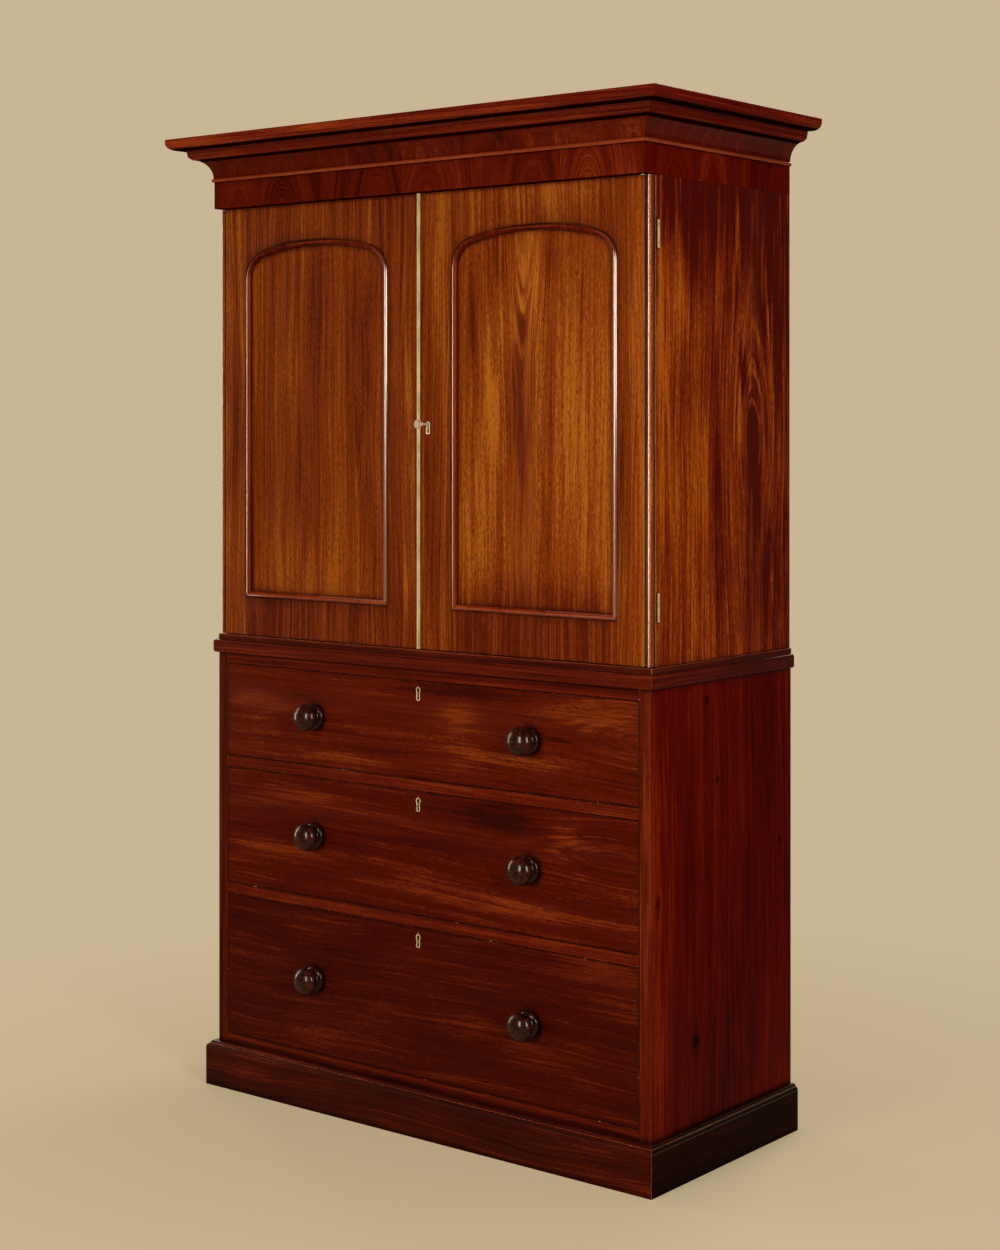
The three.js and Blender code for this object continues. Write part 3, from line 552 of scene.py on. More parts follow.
make_door_frame("right_door_frame", 1, 1.0, [
    (0.05, 1.76, 0.018, 0.16, 0.55), (0.07, 1.5, 0.012, 0.2, 0.3), (0.03, 1.35, 0.02, 0.18, -0.3),
    (0.545, 1.62, 0.012, 0.25, 0.4), (0.52, 1.35, 0.014, 0.2, -0.4), (0.3, 1.93, 0.2, 0.025, 0.25)])
make_door_frame("left_door_frame", -1, 21.0, [
    (-0.025, 1.42, 0.012, 0.16, 0.55), (-0.06, 1.75, 0.015, 0.15, -0.3), (-0.54, 1.5, 0.02, 0.3, -0.3),
    (-0.035, 1.15, 0.015, 0.1, 0.35)])
mahogany("right_door_panel", WARM, seed=4.0, heart=0.27, ovals=(1.95, 0.16, 0.06), wander=0.016,
         contrast=0.9, fleck=0.9, pores=0.8, joints=arch_painted_shade, arches=[(0.27, 1.69, 0.07, 0.15, 4.0)],
         patches=[
    (0.2, 1.81, 0.035, 0.1, -0.6), (0.27, 1.78, 0.022, 0.09, 0.1), (0.335, 1.81, 0.03, 0.07, -0.35),
    (0.236, 1.66, 0.025, 0.05, 0.4), (0.27, 1.655, 0.012, 0.025, -0.6), (0.182, 1.5, 0.03, 0.12, 0.6, 0.12),
    (0.145, 1.62, 0.012, 0.14, -0.5, 0.08), (0.261, 1.5, 0.025, 0.2, -0.65), (0.385, 1.5, 0.07, 0.3, 0.25),
    (0.14, 1.3, 0.03, 0.2, 0.35), (0.21, 1.25, 0.02, 0.15, -0.4), (0.3, 1.1, 0.3, 0.06, -0.6)])
mahogany("left_door_panel", WARM_LEFT, seed=9.0, heart=-1.4, wander=0.02, contrast=0.95, fleck=0.9,
         pores=0.8, joints=arch_painted_shade, patches=[
    (-0.33, 1.15, 0.1, 0.1, 0.4), (-0.17, 1.5, 0.04, 0.3, -0.35), (-0.36, 1.6, 0.04, 0.12, 0.35),
    (-0.29, 1.75, 0.03, 0.1, -0.25)])
mahogany("door_bead", BEAD, contrast=0.6, gloss=0.25, coat_ior=3.0, coat_roughness=0.28, bump=0.0,
         reach=0.01, boards=bead_painted_light, polish=bead_polish)


# Sides' woods

SIDE = (74, 5, 1), (122, 38, 3), (168, 86, 14)
DEEP_RED = (52, 1, 1), (82, 6, 1), (118, 30, 4)

# Its back and top darker: partly the wood's own tone, partly painted shade
mahogany("cupboard_side_right", SIDE, "yxz", seed=14.0, heart=0.158, ovals=(1.44, 0.33, 0.075), wander=0.024,
         contrast=1.15, mottle=0.7, fleck=0.9, pores=0.8,
         arches=[(0.15, 1.6, 0.08, 0.16, 4.2), (0.16, 1.4, 0.06, 0.13, 2.6)], patches=[
    (-0.165, 1.45, 0.05, 0.45, 0.45), (-0.09, 1.7, 0.022, 0.1, 0.35, 0.05), (-0.02, 1.3, 0.09, 0.25, 0.25),
    (0.0, 1.94, 0.3, 0.09, -1.0), (-0.03, 1.84, 0.05, 0.1, -0.8, -0.15), (0.1, 1.78, 0.04, 0.13, -0.6),
    (-0.16, 1.86, 0.03, 0.06, -0.5), (0.3, 1.4, 0.1, 0.9, -0.55), (0.21, 1.84, 0.07, 0.2, -0.8, 0.1),
    (0.122, 1.575, 0.014, 0.055, -1.5, 0.1), (0.158, 1.435, 0.025, 0.082, -2.0),
    (0.17, 1.3, 0.022, 0.08, -0.8), (0.112, 1.47, 0.008, 0.085, 0.9), (0.02, 1.45, 0.02, 0.2, -0.35),
    (0.03, 1.25, 0.012, 0.16, -0.5), (0.2, 1.15, 0.08, 0.1, -0.4)])
# Its back darker: partly the wood's own tone, partly painted shade
mahogany("cupboard_side_left", SIDE, "yxz", seed=17.0, heart=0.05, ovals=(1.7, 0.2, 0.05), wander=0.022,
         mottle=0.5, fleck=0.7, pores=0.6, patches=[
    (0.3, 1.4, 0.12, 0.9, -0.5), (-0.1, 1.5, 0.05, 0.3, 0.4)])
mahogany("chest_side_right", DEEP_RED, "yxz", seed=5.0, heart=-1.7, wander=0.02, contrast=0.75, mottle=0.7,
         fleck=0.4, pores=0.6, specular=0.03, knots=[
    (-0.017, 0.925, 0.007, 0.011, 0.9), (0.024, 0.764, 0.006, 0.009, 0.9), (0.258, 0.609, 0.006, 0.011, 0.9),
    (-0.186, 0.549, 0.009, 0.018, 0.6), (-0.055, 0.26, 0.012, 0.014, 1.0)], patches=[
    (-0.19, 0.5, 0.04, 0.6, 0.35), (0.05, 0.3, 0.12, 0.3, -0.5), (0.2, 0.75, 0.08, 0.2, -0.3)])
mahogany("chest_side_left", DEEP_RED, "yxz", seed=6.0, heart=-1.7, wander=0.02, contrast=0.8, mottle=0.7,
         fleck=0.4, specular=0.03)


# Drawers' woods

# Darker from the top drawer down: partly the wood's own tone, partly painted shade as the light falls off
# towards the floor
RED_BROWN = (52, 7, 1), (84, 20, 3), (124, 52, 13)
DARKER_BROWN = (46, 5, 1), (75, 14, 3), (122, 46, 11)
DARKEST_BROWN = (38, 4, 1), (62, 10, 2), (100, 33, 9)


def make_drawer_front(number, tones, contrast=0.62, mottle=0.8, wander=0.02, **figure):
    low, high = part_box(f"drawer_{number}_front")
    # Painted shade along the front's edges, by the gaps round it
    mahogany(f"drawer_{number}_front", tones, "zyx", contrast=contrast, mottle=mottle, wander=wander,
             pores=0.6, edges=(low.z, high.z, low.x, high.x, 0.0035), **figure)


make_drawer_front(1, RED_BROWN, mottle=0.7, seed=3.0, heart=0.868, ovals=(0.56, 0.3, 0.05),
                  arches=[(0.868, 0.47, 0.05, 0.12, 1.8)], patches=[
    (0.868, 0.11, 0.03, 0.05, 0.5), (0.862, -0.45, 0.022, 0.08, 0.5), (0.9, 0.47, 0.02, 0.09, 0.35),
    (0.925, 0.1, 0.02, 0.2, -0.6), (0.8, 0.33, 0.012, 0.12, 0.5), (0.79, 0.12, 0.02, 0.1, 0.35),
    (0.877, -0.33, 0.012, 0.09, -0.5), (0.857, 0.36, 0.02, 0.07, -0.5), (0.76, -0.3, 0.015, 0.25, 0.3)])
make_drawer_front(2, DARKER_BROWN, seed=8.0, heart=0.64, ovals=(0.5, 0.25, 0.05),
                  arches=[(0.65, 0.4, 0.06, 0.12, 1.8)], patches=[
    (0.656, 0.375, 0.03, 0.06, 0.5, 0.35), (0.682, 0.229, 0.025, 0.09, -0.8),
    (0.545, -0.366, 0.02, 0.12, 0.4), (0.5, 0.35, 0.02, 0.2, 0.35), (0.6, 0.0, 0.03, 0.2, -0.3),
    (0.66, -0.35, 0.03, 0.15, 0.2)])
make_drawer_front(3, DARKEST_BROWN, contrast=0.65, wander=0.03, seed=12.0, heart=1.9, patches=[
    (0.4, 0.45, 0.04, 0.1, 0.25), (0.19, -0.1, 0.05, 0.4, -0.1)])


# Woods of chest front, waist and plinth

PLINTH_MOULDING = (0.081, 0.084)  # the heights between which its polish starts


def rail_gap_shadows(net, place):
    """Painted shadow on the rails along the gaps round the drawers: wide under a drawer, thin over it."""
    height = net.split(place)[0]
    made = []
    for number in (1, 2, 3):
        low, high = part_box(f"drawer_{number}_front")
        made.append(net.times(line(net, height, low.z, 0.0045), 0.95))
        made.append(net.times(line(net, height, high.z, 0.0022), 0.8))
    return made


def plinth_polish(net, place):
    return net.span(net.split(place)[0], *PLINTH_MOULDING, 0.0, 0.8)


mahogany("rail", ((52, 8, 2), (86, 20, 5), (118, 42, 14)), "zyx", seed=7.0, wander=0.006, mottle=0.5,
         joints=rail_gap_shadows)
mahogany("stile", ((46, 7, 2), (80, 19, 5), (116, 42, 14)), seed=53.0, wander=0.01, mottle=0.5)
mahogany("slab", ((48, 7, 2), (82, 20, 5), (118, 44, 14)), "zyx", seed=7.2, wander=0.006, mottle=0.5,
         coat=0.15, reach=0.02)
mahogany("slab_side", ((36, 3, 2), (66, 10, 4), (100, 30, 12)), "zxy", seed=7.5, wander=0.006, mottle=0.5,
         coat=0.1, reach=0.02)
# Dark near the floor: partly the wood's own tone, partly painted shade
mahogany("plinth", ((28, 5, 2), (56, 12, 4), (100, 34, 14)), "zyx", seed=31.0, wander=0.05, contrast=0.75,
         mottle=1.0, polish=plinth_polish)
mahogany("plinth_side", ((12, 1, 1), (25, 2, 1), (52, 9, 5)), "zxy", seed=33.0, wander=0.03, specular=0.03,
         polish=plinth_polish)


# Cornice's woods

CROWN = (54, 9, 3), (100, 26, 8), (146, 58, 20)
CROWN_SIDE = (50, 5, 2), (92, 16, 5), (132, 42, 14)
BAND = (50, 8, 2), (88, 21, 5), (124, 46, 14)
BAND_SIDE = (50, 4, 1), (86, 12, 3), (122, 34, 10)


def make_cornice_woods(place, along_run, upright, offset, crown, band, crown_coat, cove_coat):
    """The crown with its grain along the run, and the frieze and the cove crossbanded."""
    mahogany("crown" + place, crown, along_run, seed=39.0, wander=0.006, mottle=0.4, specular=0.0,
             coat=crown_coat, reach=0.035)
    mahogany("frieze" + place, band, upright, seed=41.0, heart=-1.0, wander=0.06, contrast=0.45, mottle=1.3,
             specular=0.0, coat=0.14, reach=0.02, fan=(0.205, 1.86, 0.3, offset))
    mahogany("cove" + place, band, upright, seed=45.0, heart=-1.0, wander=0.01, contrast=0.5, mottle=1.0,
             specular=0.0, coat=cove_coat, reach=0.03, fan=(0.16, 1.94, 0.15, offset))


make_cornice_woods("", "zyx", "xyz", 0.03, CROWN, BAND, 0.28, 0.28)
make_cornice_woods("_side", "zxy", "yxz", 0.055, CROWN_SIDE, BAND_SIDE, 0.18, 0.55)
# The cornice's undersides near black: painted shadow
mahogany("soffit_shadow", ((16, 3, 1), (26, 6, 3), (40, 11, 5)), "zyx", seed=55.0, specular=0.0, reach=0.03)
mahogany("cornice_top", ((44, 12, 6), (78, 26, 12), (108, 46, 24)), "zyx", seed=58.0, wander=0.01,
         gloss=0.65, specular=0.02)
# The astragal's tones lighter than the cornice's: a painted highlight on its round bead
mahogany("astragal", ((96, 30, 10), (138, 56, 22), (166, 78, 36)), "zyx", seed=57.0, contrast=0.6,
         specular=0.0, coat=0.6, coat_ior=1.6, shade_in_creases=0.6, bump=0.0)


# Eased edges: wear, and painted highlights

FRAME_EDGE_HIGHLIGHT = (0.562, 0.5635)


# A door frame's eased edges: a little darker inside, and painted pale as a highlight towards the outer
# corner bead
def frame_edge_highlight(net, place):
    across = net.size(net.split(place)[0])
    return 51.0, net.span(across, *FRAME_EDGE_HIGHLIGHT, -0.1, 0.6)


mahogany("arris", ((58, 16, 6), (88, 30, 12), (124, 56, 26)), seed=51.0, coat=0.05, shade_in_creases=0.8, wear=0.7)
mahogany("frame_arris_and_highlight", ((58, 16, 6), (88, 30, 12), (214, 196, 172)), contrast=0.7, coat=0.2, shade_in_creases=0.8,
         boards=frame_edge_highlight)
# Lighter tones than the woods it eases: a painted highlight along those edges, with wear
mahogany("lit_arris", ((96, 32, 12), (138, 62, 30), (176, 106, 64)), seed=52.0, coat=1.0, coat_ior=1.8,
         specular=0.3, shade_in_creases=0.5, wear=0.6)


# Pine

PINE = (126, 88, 50), (160, 120, 74), (184, 146, 98)
OLD_PINE = (104, 70, 38), (140, 100, 60), (168, 126, 82)
TAIL_PITCH, TAIL_HALF, TAIL_LENGTH, TAIL_FLARE = 0.05, 0.019, 0.016, 0.2


def make_pine(name, directions, seed, tones, knots=()):
    """Bare pine, with knots as in mahogany but without their rings."""
    net = new_material(name)
    board, knot_masks = part_grain(net, board_of(net, directions), knots)
    figure = net.group(FIGURE, {"Board": board, "Heart": 1.2, "Wander": 0.02, "Seed": seed})[0]
    dark, mid, light = (shade(*tone) for tone in tones)
    out = net.group(MAHOGANY, {"Vector": figure, "Seed": seed, "Dark": dark, "Mid": mid, "Light": light,
                               "Contrast": 1.1, "Fleck": 0.1, "Pores": 0.1})
    color = out["Color"]
    for heart_mask, _ in knot_masks:
        color = net.mix(heart_mask, color, shade(74, 40, 20))
    finish_material(net, color, net.add(out["Roughness"], 0.62), out["Height"], bump=0.4, specular=0.25)


make_pine("pine_across", "zyx", 60.0, PINE)
make_pine("pine_sides", "zxy", 63.0, PINE)
make_pine("pine_boards", "yzx", 66.0, PINE)
make_pine("pine_backs", "xyz", 69.0, OLD_PINE, [
    (0.21, 1.42, 0.012, 0.0192, 0.9), (-0.3, 1.7, 0.01, 0.016, 0.8), (-0.16, 0.5, 0.012, 0.0192, 0.9),
    (0.38, 0.72, 0.009, 0.0144, 0.8)])
make_pine("pine_rail", "zyx", 72.0, OLD_PINE)


def make_dovetails(number):
    """The side of a drawer's front: tails of the pine side between dark pins of end grain."""
    low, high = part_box(f"drawer_{number}_box")
    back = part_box(f"drawer_{number}_front")[1].y
    pitch = (high.z - low.z) / round((high.z - low.z) / TAIL_PITCH)
    net = new_material(f"dovetails_{number}")
    place = net.place()
    _, through, height = net.split(place)
    reach = net.less(back, through)
    step = net.math("FRACT", net.times(net.less(height, low.z), 1 / pitch))
    offset = net.times(net.size(net.less(step, 0.5)), pitch)
    half = net.math("MULTIPLY_ADD", reach, TAIL_FLARE, TAIL_HALF)
    inside = net.math("MINIMUM", net.less(half, offset),
                      net.math("MINIMUM", net.less(TAIL_LENGTH, reach), net.less(high.z, height)))
    tail = net.span(inside, -0.0002, 0.0002)
    grain = net.span(net.noise(place, (300.0, 8.0, 300.0)), 0.35, 0.65)
    end_grain = net.span(net.noise(place, (700.0, 700.0, 700.0)), 0.35, 0.65)
    pins = net.mix(end_grain, shade(38, 10, 5), shade(68, 24, 11))
    color = net.mix(tail, pins, net.mix(grain, shade(*PINE[0]), shade(*PINE[2])))
    color = net.mix(net.times(line(net, inside, 0.0, 0.0006), 0.8), color, shade(30, 12, 6))
    finish_material(net, color, net.add(net.times(grain, 0.1), 0.5), grain, bump=0.1, specular=0.2)


# Metals and rosewood

def make_metal(name, tones, roughness, metallic):
    """Metal with its bright, dull and speck colours."""
    bright, dull, dark = (shade(*tone) for tone in tones)
    net = new_material(name)
    place = net.place()
    cloud = net.span(net.noise(place, (60.0, 60.0, 60.0), 3.0, 0.6), 0.35, 0.65)
    speck = net.span(net.noise(place, (900.0, 900.0, 900.0)), 0.6, 0.75)
    scratch = net.noise(place, (1400.0, 1400.0, 60.0))
    color = net.mix(net.times(speck, 0.5), net.mix(cloud, bright, dull), dark)
    # Painted shade: the metal darkened in its creases and hollows
    crease = net.span(net.group(CREASE_SHADE, {"Reach": 0.004})["Mask"], 0.4, 1.0)
    color = net.stain(crease, color, (0.08, 0.06, 0.04))
    rough = net.add(net.add(net.times(cloud, 0.1), net.times(scratch, 0.12)), roughness)
    finish_material(net, color, rough, scratch, bump=0.1, depth=0.0001, specular=0.5, metallic=metallic)


def make_strip_brass():
    """The meeting strip: a rounded edge painted bright as a highlight and a duller flat, with a dark groove
    between.
    """
    net = new_material("strip_brass")
    place = net.place()
    across = net.split(place)[0]
    cloud = net.span(net.noise(place, (60.0, 60.0, 30.0), 3.0, 0.6), 0.3, 0.7)
    bright = net.mix(cloud, shade(252, 236, 206), shade(240, 220, 186))
    dull = net.mix(cloud, shade(172, 152, 114), shade(148, 126, 88))
    # Painted highlight: the rounded side paler than the flat
    color = net.mix(net.span(across, -0.0008, 0.0), bright, dull)
    color = net.mix(net.times(line(net, across, -0.0004, 0.0006), 0.8), color, shade(60, 40, 24))
    finish_material(net, color, net.add(net.times(cloud, 0.1), 0.42), cloud, bump=0.05, depth=0.0001,
                    specular=0.4, metallic=0.4)


def make_rosewood():
    net = new_material("turned_rosewood")
    place = board_of(net, "xzy")
    streak = net.span(net.noise(place, (160.0, 160.0, 18.0), 3.0, 0.6), 0.42, 0.66)
    fine = net.noise(place, (900.0, 900.0, 90.0))
    # Painted shade: the knob darkened nearly to black in its grooves
    crease = net.group(CREASE_SHADE, {"Reach": 0.01})["Mask"]
    color = net.mix(crease, net.mix(streak, shade(18, 4, 3), shade(62, 14, 7)), shade(5, 2, 2))
    finish_material(net, color, net.add(net.times(fine, 0.1), 0.45), fine, bump=0.04, depth=0.0002,
                    specular=0.1, coat=0.6, coat_roughness=0.18, tint=RED_SHEEN)


make_metal("rim_brass", ((230, 206, 168), (202, 176, 136), (124, 100, 66)), 0.42, 0.5)
# Painted light: a lighter copy of the rim brass for the door's rim, against the shade of its recess
make_metal("door_rim_brass_painted_light", ((255, 242, 210), (240, 218, 180), (150, 124, 88)), 0.42, 0.3)
make_metal("dull_brass", ((178, 148, 100), (150, 120, 76), (84, 60, 34)), 0.46, 0.6)
make_metal("worn_steel", ((236, 226, 206), (196, 186, 166), (96, 86, 70)), 0.32, 0.5)
make_strip_brass()
make_rosewood()


# Pieces

RECORD = frame["record"]
BODY_OF = {node: body for body, members in RECORD["behaviour"]["bodies"].items() for node in members}
SLOT_OF = {part["node"]: part["material_slot"] for part in RECORD["subparts"]}

SAME_PLACE, SAME_PLANE = 1e-5, math.radians(0.5)
CREASED, ROUNDED = math.radians(40), math.radians(50)


def add_piece(kind, node, bm, materials, sharp):
    """Makes the form into a piece that stands in for a node, with sharp shading past an angle."""
    name, body, slot, replaces = f"{kind}_{node}", BODY_OF[node], SLOT_OF[node], [node]
    mesh = bpy.data.meshes.new(name)
    bm.to_mesh(mesh)
    bm.free()
    for material in materials:
        mesh.materials.append(MATERIALS[material])
    piece = bpy.data.objects.new(name, mesh)
    scene.collection.objects.link(piece)
    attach(piece, body)
    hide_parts(*replaces)
    mesh.set_sharp_from_angle(angle=sharp)
    return piece


def dress(node, materials, arris=0.0009, corner=35.0, choose=None):
    """Stands in for a node with the same form, its sharp outer edges eased, and its faces finished.

    choose gives the number of a face's material, and the last material is the eased edges' own.
    """
    bm = bmesh.new()
    bm.from_mesh(nodes[node].data)
    bmesh.ops.remove_doubles(bm, verts=bm.verts, dist=SAME_PLACE)
    bmesh.ops.dissolve_limit(bm, angle_limit=SAME_PLANE, verts=bm.verts, edges=bm.edges)
    for face in bm.faces:
        face.material_index = choose(face) if choose else 0
        face.smooth = True
    if arris:
        sharp = [edge for edge in bm.edges
                 if len(edge.link_faces) == 2 and edge.is_convex
                 and edge.calc_face_angle(0.0) > math.radians(corner) and edge.calc_length() > 3 * arris]
        bmesh.ops.bevel(bm, geom=sharp, offset=arris, offset_type="OFFSET", segments=2, profile=0.5,
                        affect="EDGES", clamp_overlap=True, material=len(materials) - 1)
    piece = add_piece("dressed", node, bm, materials, CREASED)
    piece.modifiers.new("even shading", "WEIGHTED_NORMAL").keep_sharp = True


# Knobs: radius and reach in front of the drawer's face, millimetres

KNOB_OUTLINE = [
    (0.0, 50.0), (5.0, 49.8), (10.0, 49.0), (15.0, 47.5), (19.5, 45.4), (23.5, 42.5), (26.6, 39.2),
    (28.7, 35.6), (29.4, 32.6), (29.2, 30.2), (28.0, 28.4), (25.4, 27.2), (22.0, 26.6), (21.8, 25.6),
    (20.6, 24.8), (17.0, 23.4), (14.8, 21.4), (14.6, 19.4), (16.4, 17.8), (19.6, 17.2), (21.4, 15.8),
    (21.8, 14.0), (21.2, 12.2), (22.6, 11.4), (25.4, 10.4), (27.0, 8.2), (27.4, 5.6), (27.0, 3.2),
    (25.6, 1.2), (24.4, 0.0),
]
KNOB_TENON = [(7.0, 0.0), (7.0, -20.0), (0.0, -20.0)]
KNOB_REACH = 0.05004  # metres from the drawer's face to the front of the CAD knob
KNOB_STEPS = 56


def turn_knob(node):
    """A knob turned from one outline about its own middle line."""
    low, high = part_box(node)
    centre = Vector(((low.x + high.x) / 2, low.y, (low.z + high.z) / 2))
    drawer_face = low.y + KNOB_REACH
    bm = bmesh.new()
    points = [bm.verts.new((centre.x + radius / 1000, drawer_face - reach / 1000, centre.z))
              for radius, reach in KNOB_OUTLINE + KNOB_TENON]
    edges = [bm.edges.new(pair) for pair in zip(points, points[1:])]
    bmesh.ops.spin(bm, geom=points + edges, cent=centre, axis=(0, 1, 0), dvec=(0, 0, 0),
                   angle=math.tau, steps=KNOB_STEPS, use_merge=True)
    bmesh.ops.remove_doubles(bm, verts=bm.verts, dist=1e-6)
    bmesh.ops.recalc_face_normals(bm, faces=bm.faces)
    for face in bm.faces:
        face.smooth = True
    add_piece("turned", node, bm, ["turned_rosewood"], ROUNDED)


# Drawers' keyhole rims: half of one, across and up from the middle of its round hole, millimetres

RIM_OUTLINE = [
    (0.0, 9.0), (1.6, 6.9), (4.6, 4.6), (6.3, 1.6), (6.2, -1.2), (5.0, -3.8), (4.6, -6.5), (4.6, -11.0),
    (4.8, -14.5), (5.7, -18.0), (4.8, -20.6), (2.0, -22.0), (0.0, -22.6),
]
HOLE_DROP = 0.0056  # metres from the top of the CAD rim to the middle of the round hole
RIM_PROUD, RIM_THICKNESS, RIM_WIDTH, RIM_EASED = 0.0002, 0.0012, 0.0024, 0.0004


def cast_rim(node):
    """A drawer's keyhole rim with a pointed top, shoulders and a flared foot."""
    low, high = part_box(node)
    middle, hole, front = (low.x + high.x) / 2, high.z - HOLE_DROP, low.y - RIM_PROUD
    bm = bmesh.new()
    left = [(-across, up) for across, up in reversed(RIM_OUTLINE[1:-1])]
    points = [bm.verts.new((middle + across / 1000, front + RIM_THICKNESS, hole + up / 1000))
              for across, up in RIM_OUTLINE + left]
    plate = bm.faces.new(points)
    bm.normal_update()
    rim = bmesh.ops.inset_region(bm, faces=[plate], thickness=RIM_WIDTH, use_even_offset=True,
                                 use_boundary=True)["faces"]
    bmesh.ops.delete(bm, geom=[plate], context="FACES")
    grown = bmesh.ops.extrude_face_region(bm, geom=rim, use_keep_orig=True)["geom"]
    bmesh.ops.translate(bm, verts=[part for part in grown if isinstance(part, bmesh.types.BMVert)],
                        vec=(0.0, -RIM_THICKNESS, 0.0))
    bmesh.ops.recalc_face_normals(bm, faces=bm.faces)
    front_edges = [edge for edge in bm.edges if max(vert.co.y for vert in edge.verts) < front + 0.0001
                   and len(edge.link_faces) == 2 and edge.calc_face_angle(0.0) > CREASED]
    bmesh.ops.bevel(bm, geom=front_edges, offset=RIM_EASED, offset_type="OFFSET", segments=2, profile=0.5,
                    affect="EDGES", clamp_overlap=True, material=-1)
    for face in bm.faces:
        face.smooth = True
    add_piece("cast", node, bm, ["rim_brass"], ROUNDED)


# Which material a face takes

FACING, FLAT = 0.7, 0.8  # the least share of a normal along its main direction
FRIEZE_TOP, ASTRAGAL_TOP, COVE_TOP = 2.0068, 2.0165, 2.056
FRIEZE_FOOT, CROWN_TOP = 1.96, 2.095  # an underside lies above the one, and the bare top above the other


def front_faces(face):
    return 1 if face.normal.y < -FACING else 0


def side_faces(face):
    return 1 if abs(face.normal.x) > FACING else 0


def box_faces(face):
    """The boards of a box: 0 front and back, 1 sides, 2 bottom."""
    return side_faces(face) or (2 if abs(face.normal.z) > FACING else 0)


def cornice_faces(face):
    """The cornice's parts: 0 crown, 1 frieze, 2 cove, 3 astragal, 4 undersides in painted shadow, 5 its bare
    top.
    """
    height = face.calc_center_median().z
    if height > CROWN_TOP and face.normal.z > FLAT:
        return 5
    if height > FRIEZE_FOOT and face.normal.z < -FLAT:
        return 4
    if height < FRIEZE_TOP:
        return 1
    if height < ASTRAGAL_TOP:
        return 3
    return 2 if height < COVE_TOP else 0


def dress_all():
    boxed = ["pine_across", "pine_sides", "pine_boards", "pine_across"]
    for side in ("right", "left"):
        dress(f"{side}_door_frame", [f"{side}_door_frame", "frame_arris_and_highlight"], arris=0.0012)
        dress(f"{side}_door_panel", [f"{side}_door_panel"], arris=0.0)
        dress(f"{side}_door_bead", ["door_bead"], arris=0.0)
        dress(f"cupboard_side_{side}", [f"cupboard_side_{side}", "arris"], arris=0.0006)
        dress(f"chest_side_{side}", [f"chest_side_{side}", "stile", "arris"], arris=0.0012,
              choose=front_faces)
        dress(f"plinth_{side}", ["plinth_side", "lit_arris"], arris=0.001, corner=50)
    for number in (1, 2, 3):
        make_dovetails(number)
        dress(f"drawer_{number}_front", [f"drawer_{number}_front", f"dovetails_{number}", "arris"],
              arris=0.0012, choose=side_faces)
        dress(f"drawer_{number}_box", boxed, arris=0.0005, choose=box_faces)
        cast_rim(f"drawer_{number}_escutcheon")
        dress(f"tray_{number}", boxed, arris=0.001, choose=box_faces)
        for side in ("left", "right"):
            turn_knob(f"drawer_{number}_knob_{side}")
    for rail in ("bottom", "lower", "upper", "top"):
        dress(f"rail_{rail}", ["rail", "arris"])
    for node in ("waist_slab", "cupboard_bottom"):
        dress(node, ["slab", "slab_side", "lit_arris"], arris=0.001, corner=50, choose=side_faces)
    dress("plinth_front", ["plinth", "lit_arris"], arris=0.001, corner=50)
    for node, place in (("cornice_front", ""), ("cornice_left", "_side"), ("cornice_right", "_side")):
        dress(node, ["crown" + place, "frieze" + place, "cove" + place, "astragal", "soffit_shadow", "cornice_top",
                     "arris" if place else "lit_arris"], arris=0.001, corner=50, choose=cornice_faces)
    for node in ("chest_back", "cupboard_back"):
        dress(node, ["pine_backs"])
    for node in ("chest_bottom", "dustboard_lower", "dustboard_upper", "cupboard_top"):
        dress(node, ["pine_boards"])
    dress("plinth_back", ["pine_rail"])
    dress("meeting_strip", ["strip_brass"], arris=0.0)
    dress("door_escutcheon", ["door_rim_brass_painted_light"], arris=0.0)
    dress("lock_case", ["dull_brass"], arris=0.0)
    dress("lock_bolt", ["dull_brass"], arris=0.0004)
    dress("key", ["worn_steel"], arris=0.0)
    for leaf in ("right_door", "right_case", "left_door", "left_case"):
        dress(leaf + "_leaf_lower", ["dull_brass"], arris=0.0)
        dress(leaf + "_leaf_upper", ["dull_brass"], arris=0.0)


dress_all()


# Floor and light

FLOOR_HALF = 30.0
BLEND_START, BLEND_END, BLEND_LEAST = 0.6, 2.4, 0.42  # how the floor turns into backdrop, metres and share


def seen_share(net, in_gloss):
    """How far a ray sees the backdrop: in full from the camera, and in_gloss as a reflection."""
    path = net.node("LightPath").outputs
    return net.math("ADD", net.add(path["Is Camera Ray"], net.times(path["Is Glossy Ray"], in_gloss)),
                    path["Is Transmission Ray"], clamp=True)


def lay_floor():
    bm = bmesh.new()
    bmesh.ops.create_grid(bm, x_segments=1, y_segments=1, size=FLOOR_HALF)
    mesh = bpy.data.meshes.new("floor")
    bm.to_mesh(mesh)
    bm.free()
    floor = bpy.data.objects.new("floor", mesh)
    scene.collection.objects.link(floor)
    net = new_material("pale_floor")
    place = net.place()
    x, y, _ = net.split(place)
    distance = net.length(x, y)
    weave = net.noise(place, (260.0, 260.0, 1.0))
    color = net.mix(net.span(weave, 0.3, 0.7), shade(190, 176, 142), shade(202, 188, 157))
    shader = net.node("BsdfPrincipled", {"Base Color": color, "Roughness": 0.9, "Specular IOR Level": 0.1})
    glow = net.node("Emission", {"Color": BACKDROP, "Strength": seen_share(net, 0.3)})
    share = net.span(distance, BLEND_START, BLEND_END, BLEND_LEAST, 1.0)
    blended = net.node("MixShader", {0: share, 1: shader.outputs[0], 2: glow.outputs[0]})
    net.node("OutputMaterial", {0: blended.outputs[0]})
    mesh.materials.append(MATERIALS["pale_floor"])


LAMP_AIM = 1.2  # the height on the press that every lamp faces


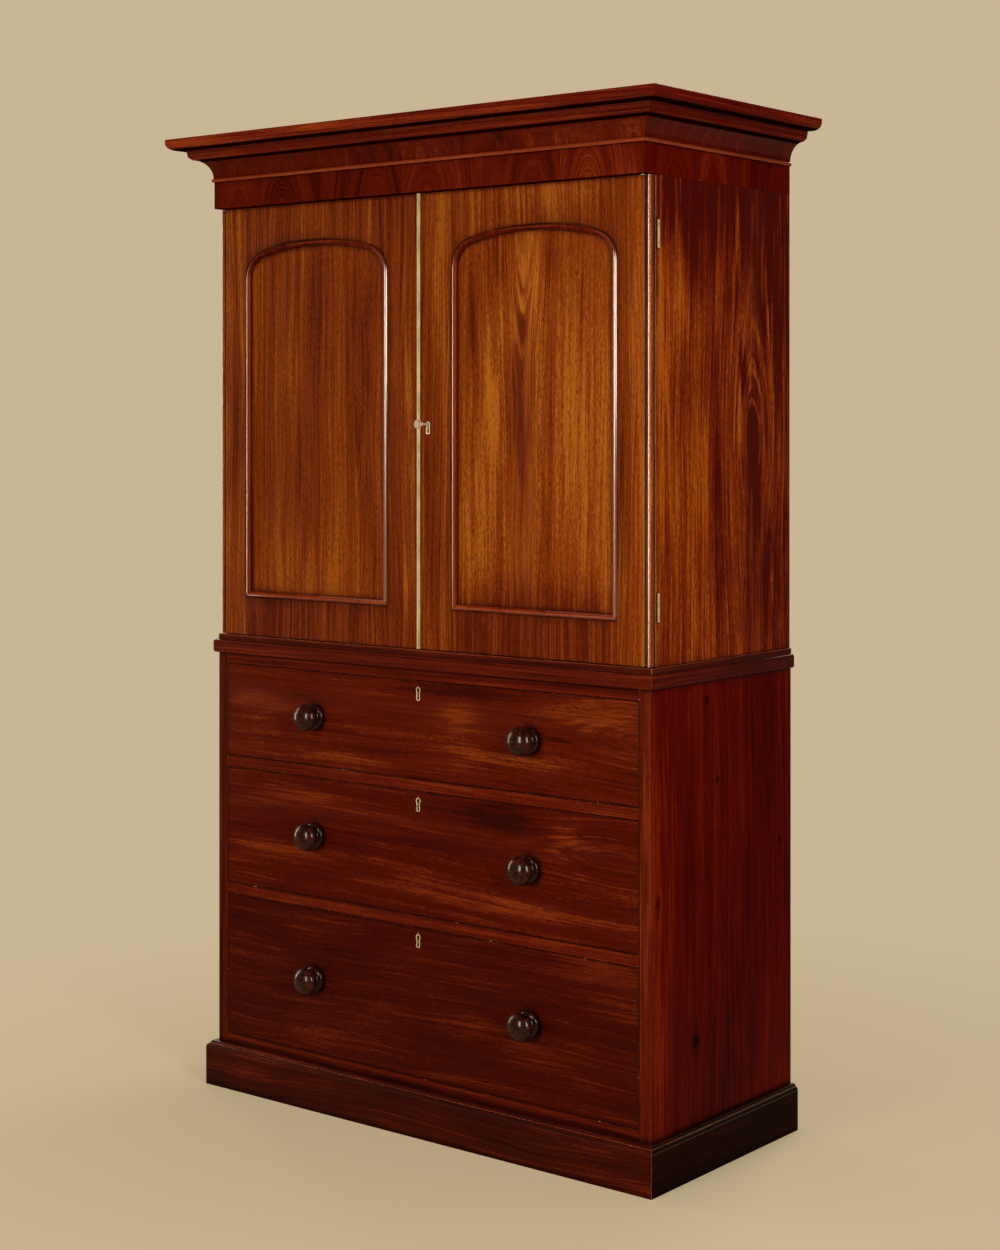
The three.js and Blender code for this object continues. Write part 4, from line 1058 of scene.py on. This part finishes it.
def hang_lamp(name, azimuth, elevation, distance, width, height, power, color):
    """A soft rectangular lamp, azimuth degrees from the front towards the right, facing the press."""
    data = bpy.data.lights.new(name, "AREA")
    data.shape = "RECTANGLE"
    data.size, data.size_y = width, height
    data.energy = power
    data.color = color
    lamp = bpy.data.objects.new(name, data)
    a, e = math.radians(azimuth), math.radians(elevation)
    away = Vector((math.sin(a) * math.cos(e), -math.cos(a) * math.cos(e), math.sin(e)))
    lamp.location = Vector((0.0, 0.0, LAMP_AIM)) + away * distance
    lamp.rotation_euler = away.to_track_quat("Z", "Y").to_euler()
    lamp.visible_camera = False
    scene.collection.objects.link(lamp)


ROOM_LIGHT = (0.36, 0.345, 0.32, 1.0)
BRIGHT_SIDE = (-0.62, 0.78, 0.0)  # where the backdrop is brightest in reflections: away from the camera


def light_room():
    world = bpy.data.worlds.new("room")
    scene.world = world
    world.use_nodes = True
    world.node_tree.nodes.clear()
    net = Net(world.node_tree)
    path = net.node("LightPath").outputs
    glossy = net.add(path["Is Glossy Ray"], path["Is Transmission Ray"])
    direction = net.node("TexCoord").outputs["Generated"]
    towards = net.node("VectorMath", {0: direction, 1: BRIGHT_SIDE}, operation="DOT_PRODUCT")
    dim = net.span(towards.outputs["Value"], 0.3, 0.9, 0.06, 0.8)
    reflected = net.mix(1.0, BACKDROP, net.join(dim, dim, dim), "MULTIPLY")
    color = net.mix(seen_share(net, 1.0), ROOM_LIGHT, net.mix(glossy, BACKDROP, reflected))
    background = net.node("Background", {"Color": color, "Strength": 1.0})
    net.node("OutputWorld", {0: background.outputs[0]})
    hang_lamp("key lamp", 2, 5, 3.6, 0.55, 1.8, 67, (1.0, 0.86, 0.68))
    hang_lamp("right lamp", 62, 8, 3.2, 0.6, 1.7, 60, (1.0, 0.86, 0.66))
    hang_lamp("left lamp", -78, 2, 3.6, 0.3, 2.2, 36, (1.0, 0.78, 0.54))
    hang_lamp("left side lamp", -112, 4, 3.6, 0.5, 1.7, 22, (1.0, 0.88, 0.72))
    hang_lamp("back lamp", 182, 40, 3.8, 1.0, 1.6, 64, (1.0, 0.9, 0.78))
    scene.view_settings.view_transform = "Standard"


lay_floor()
light_room()
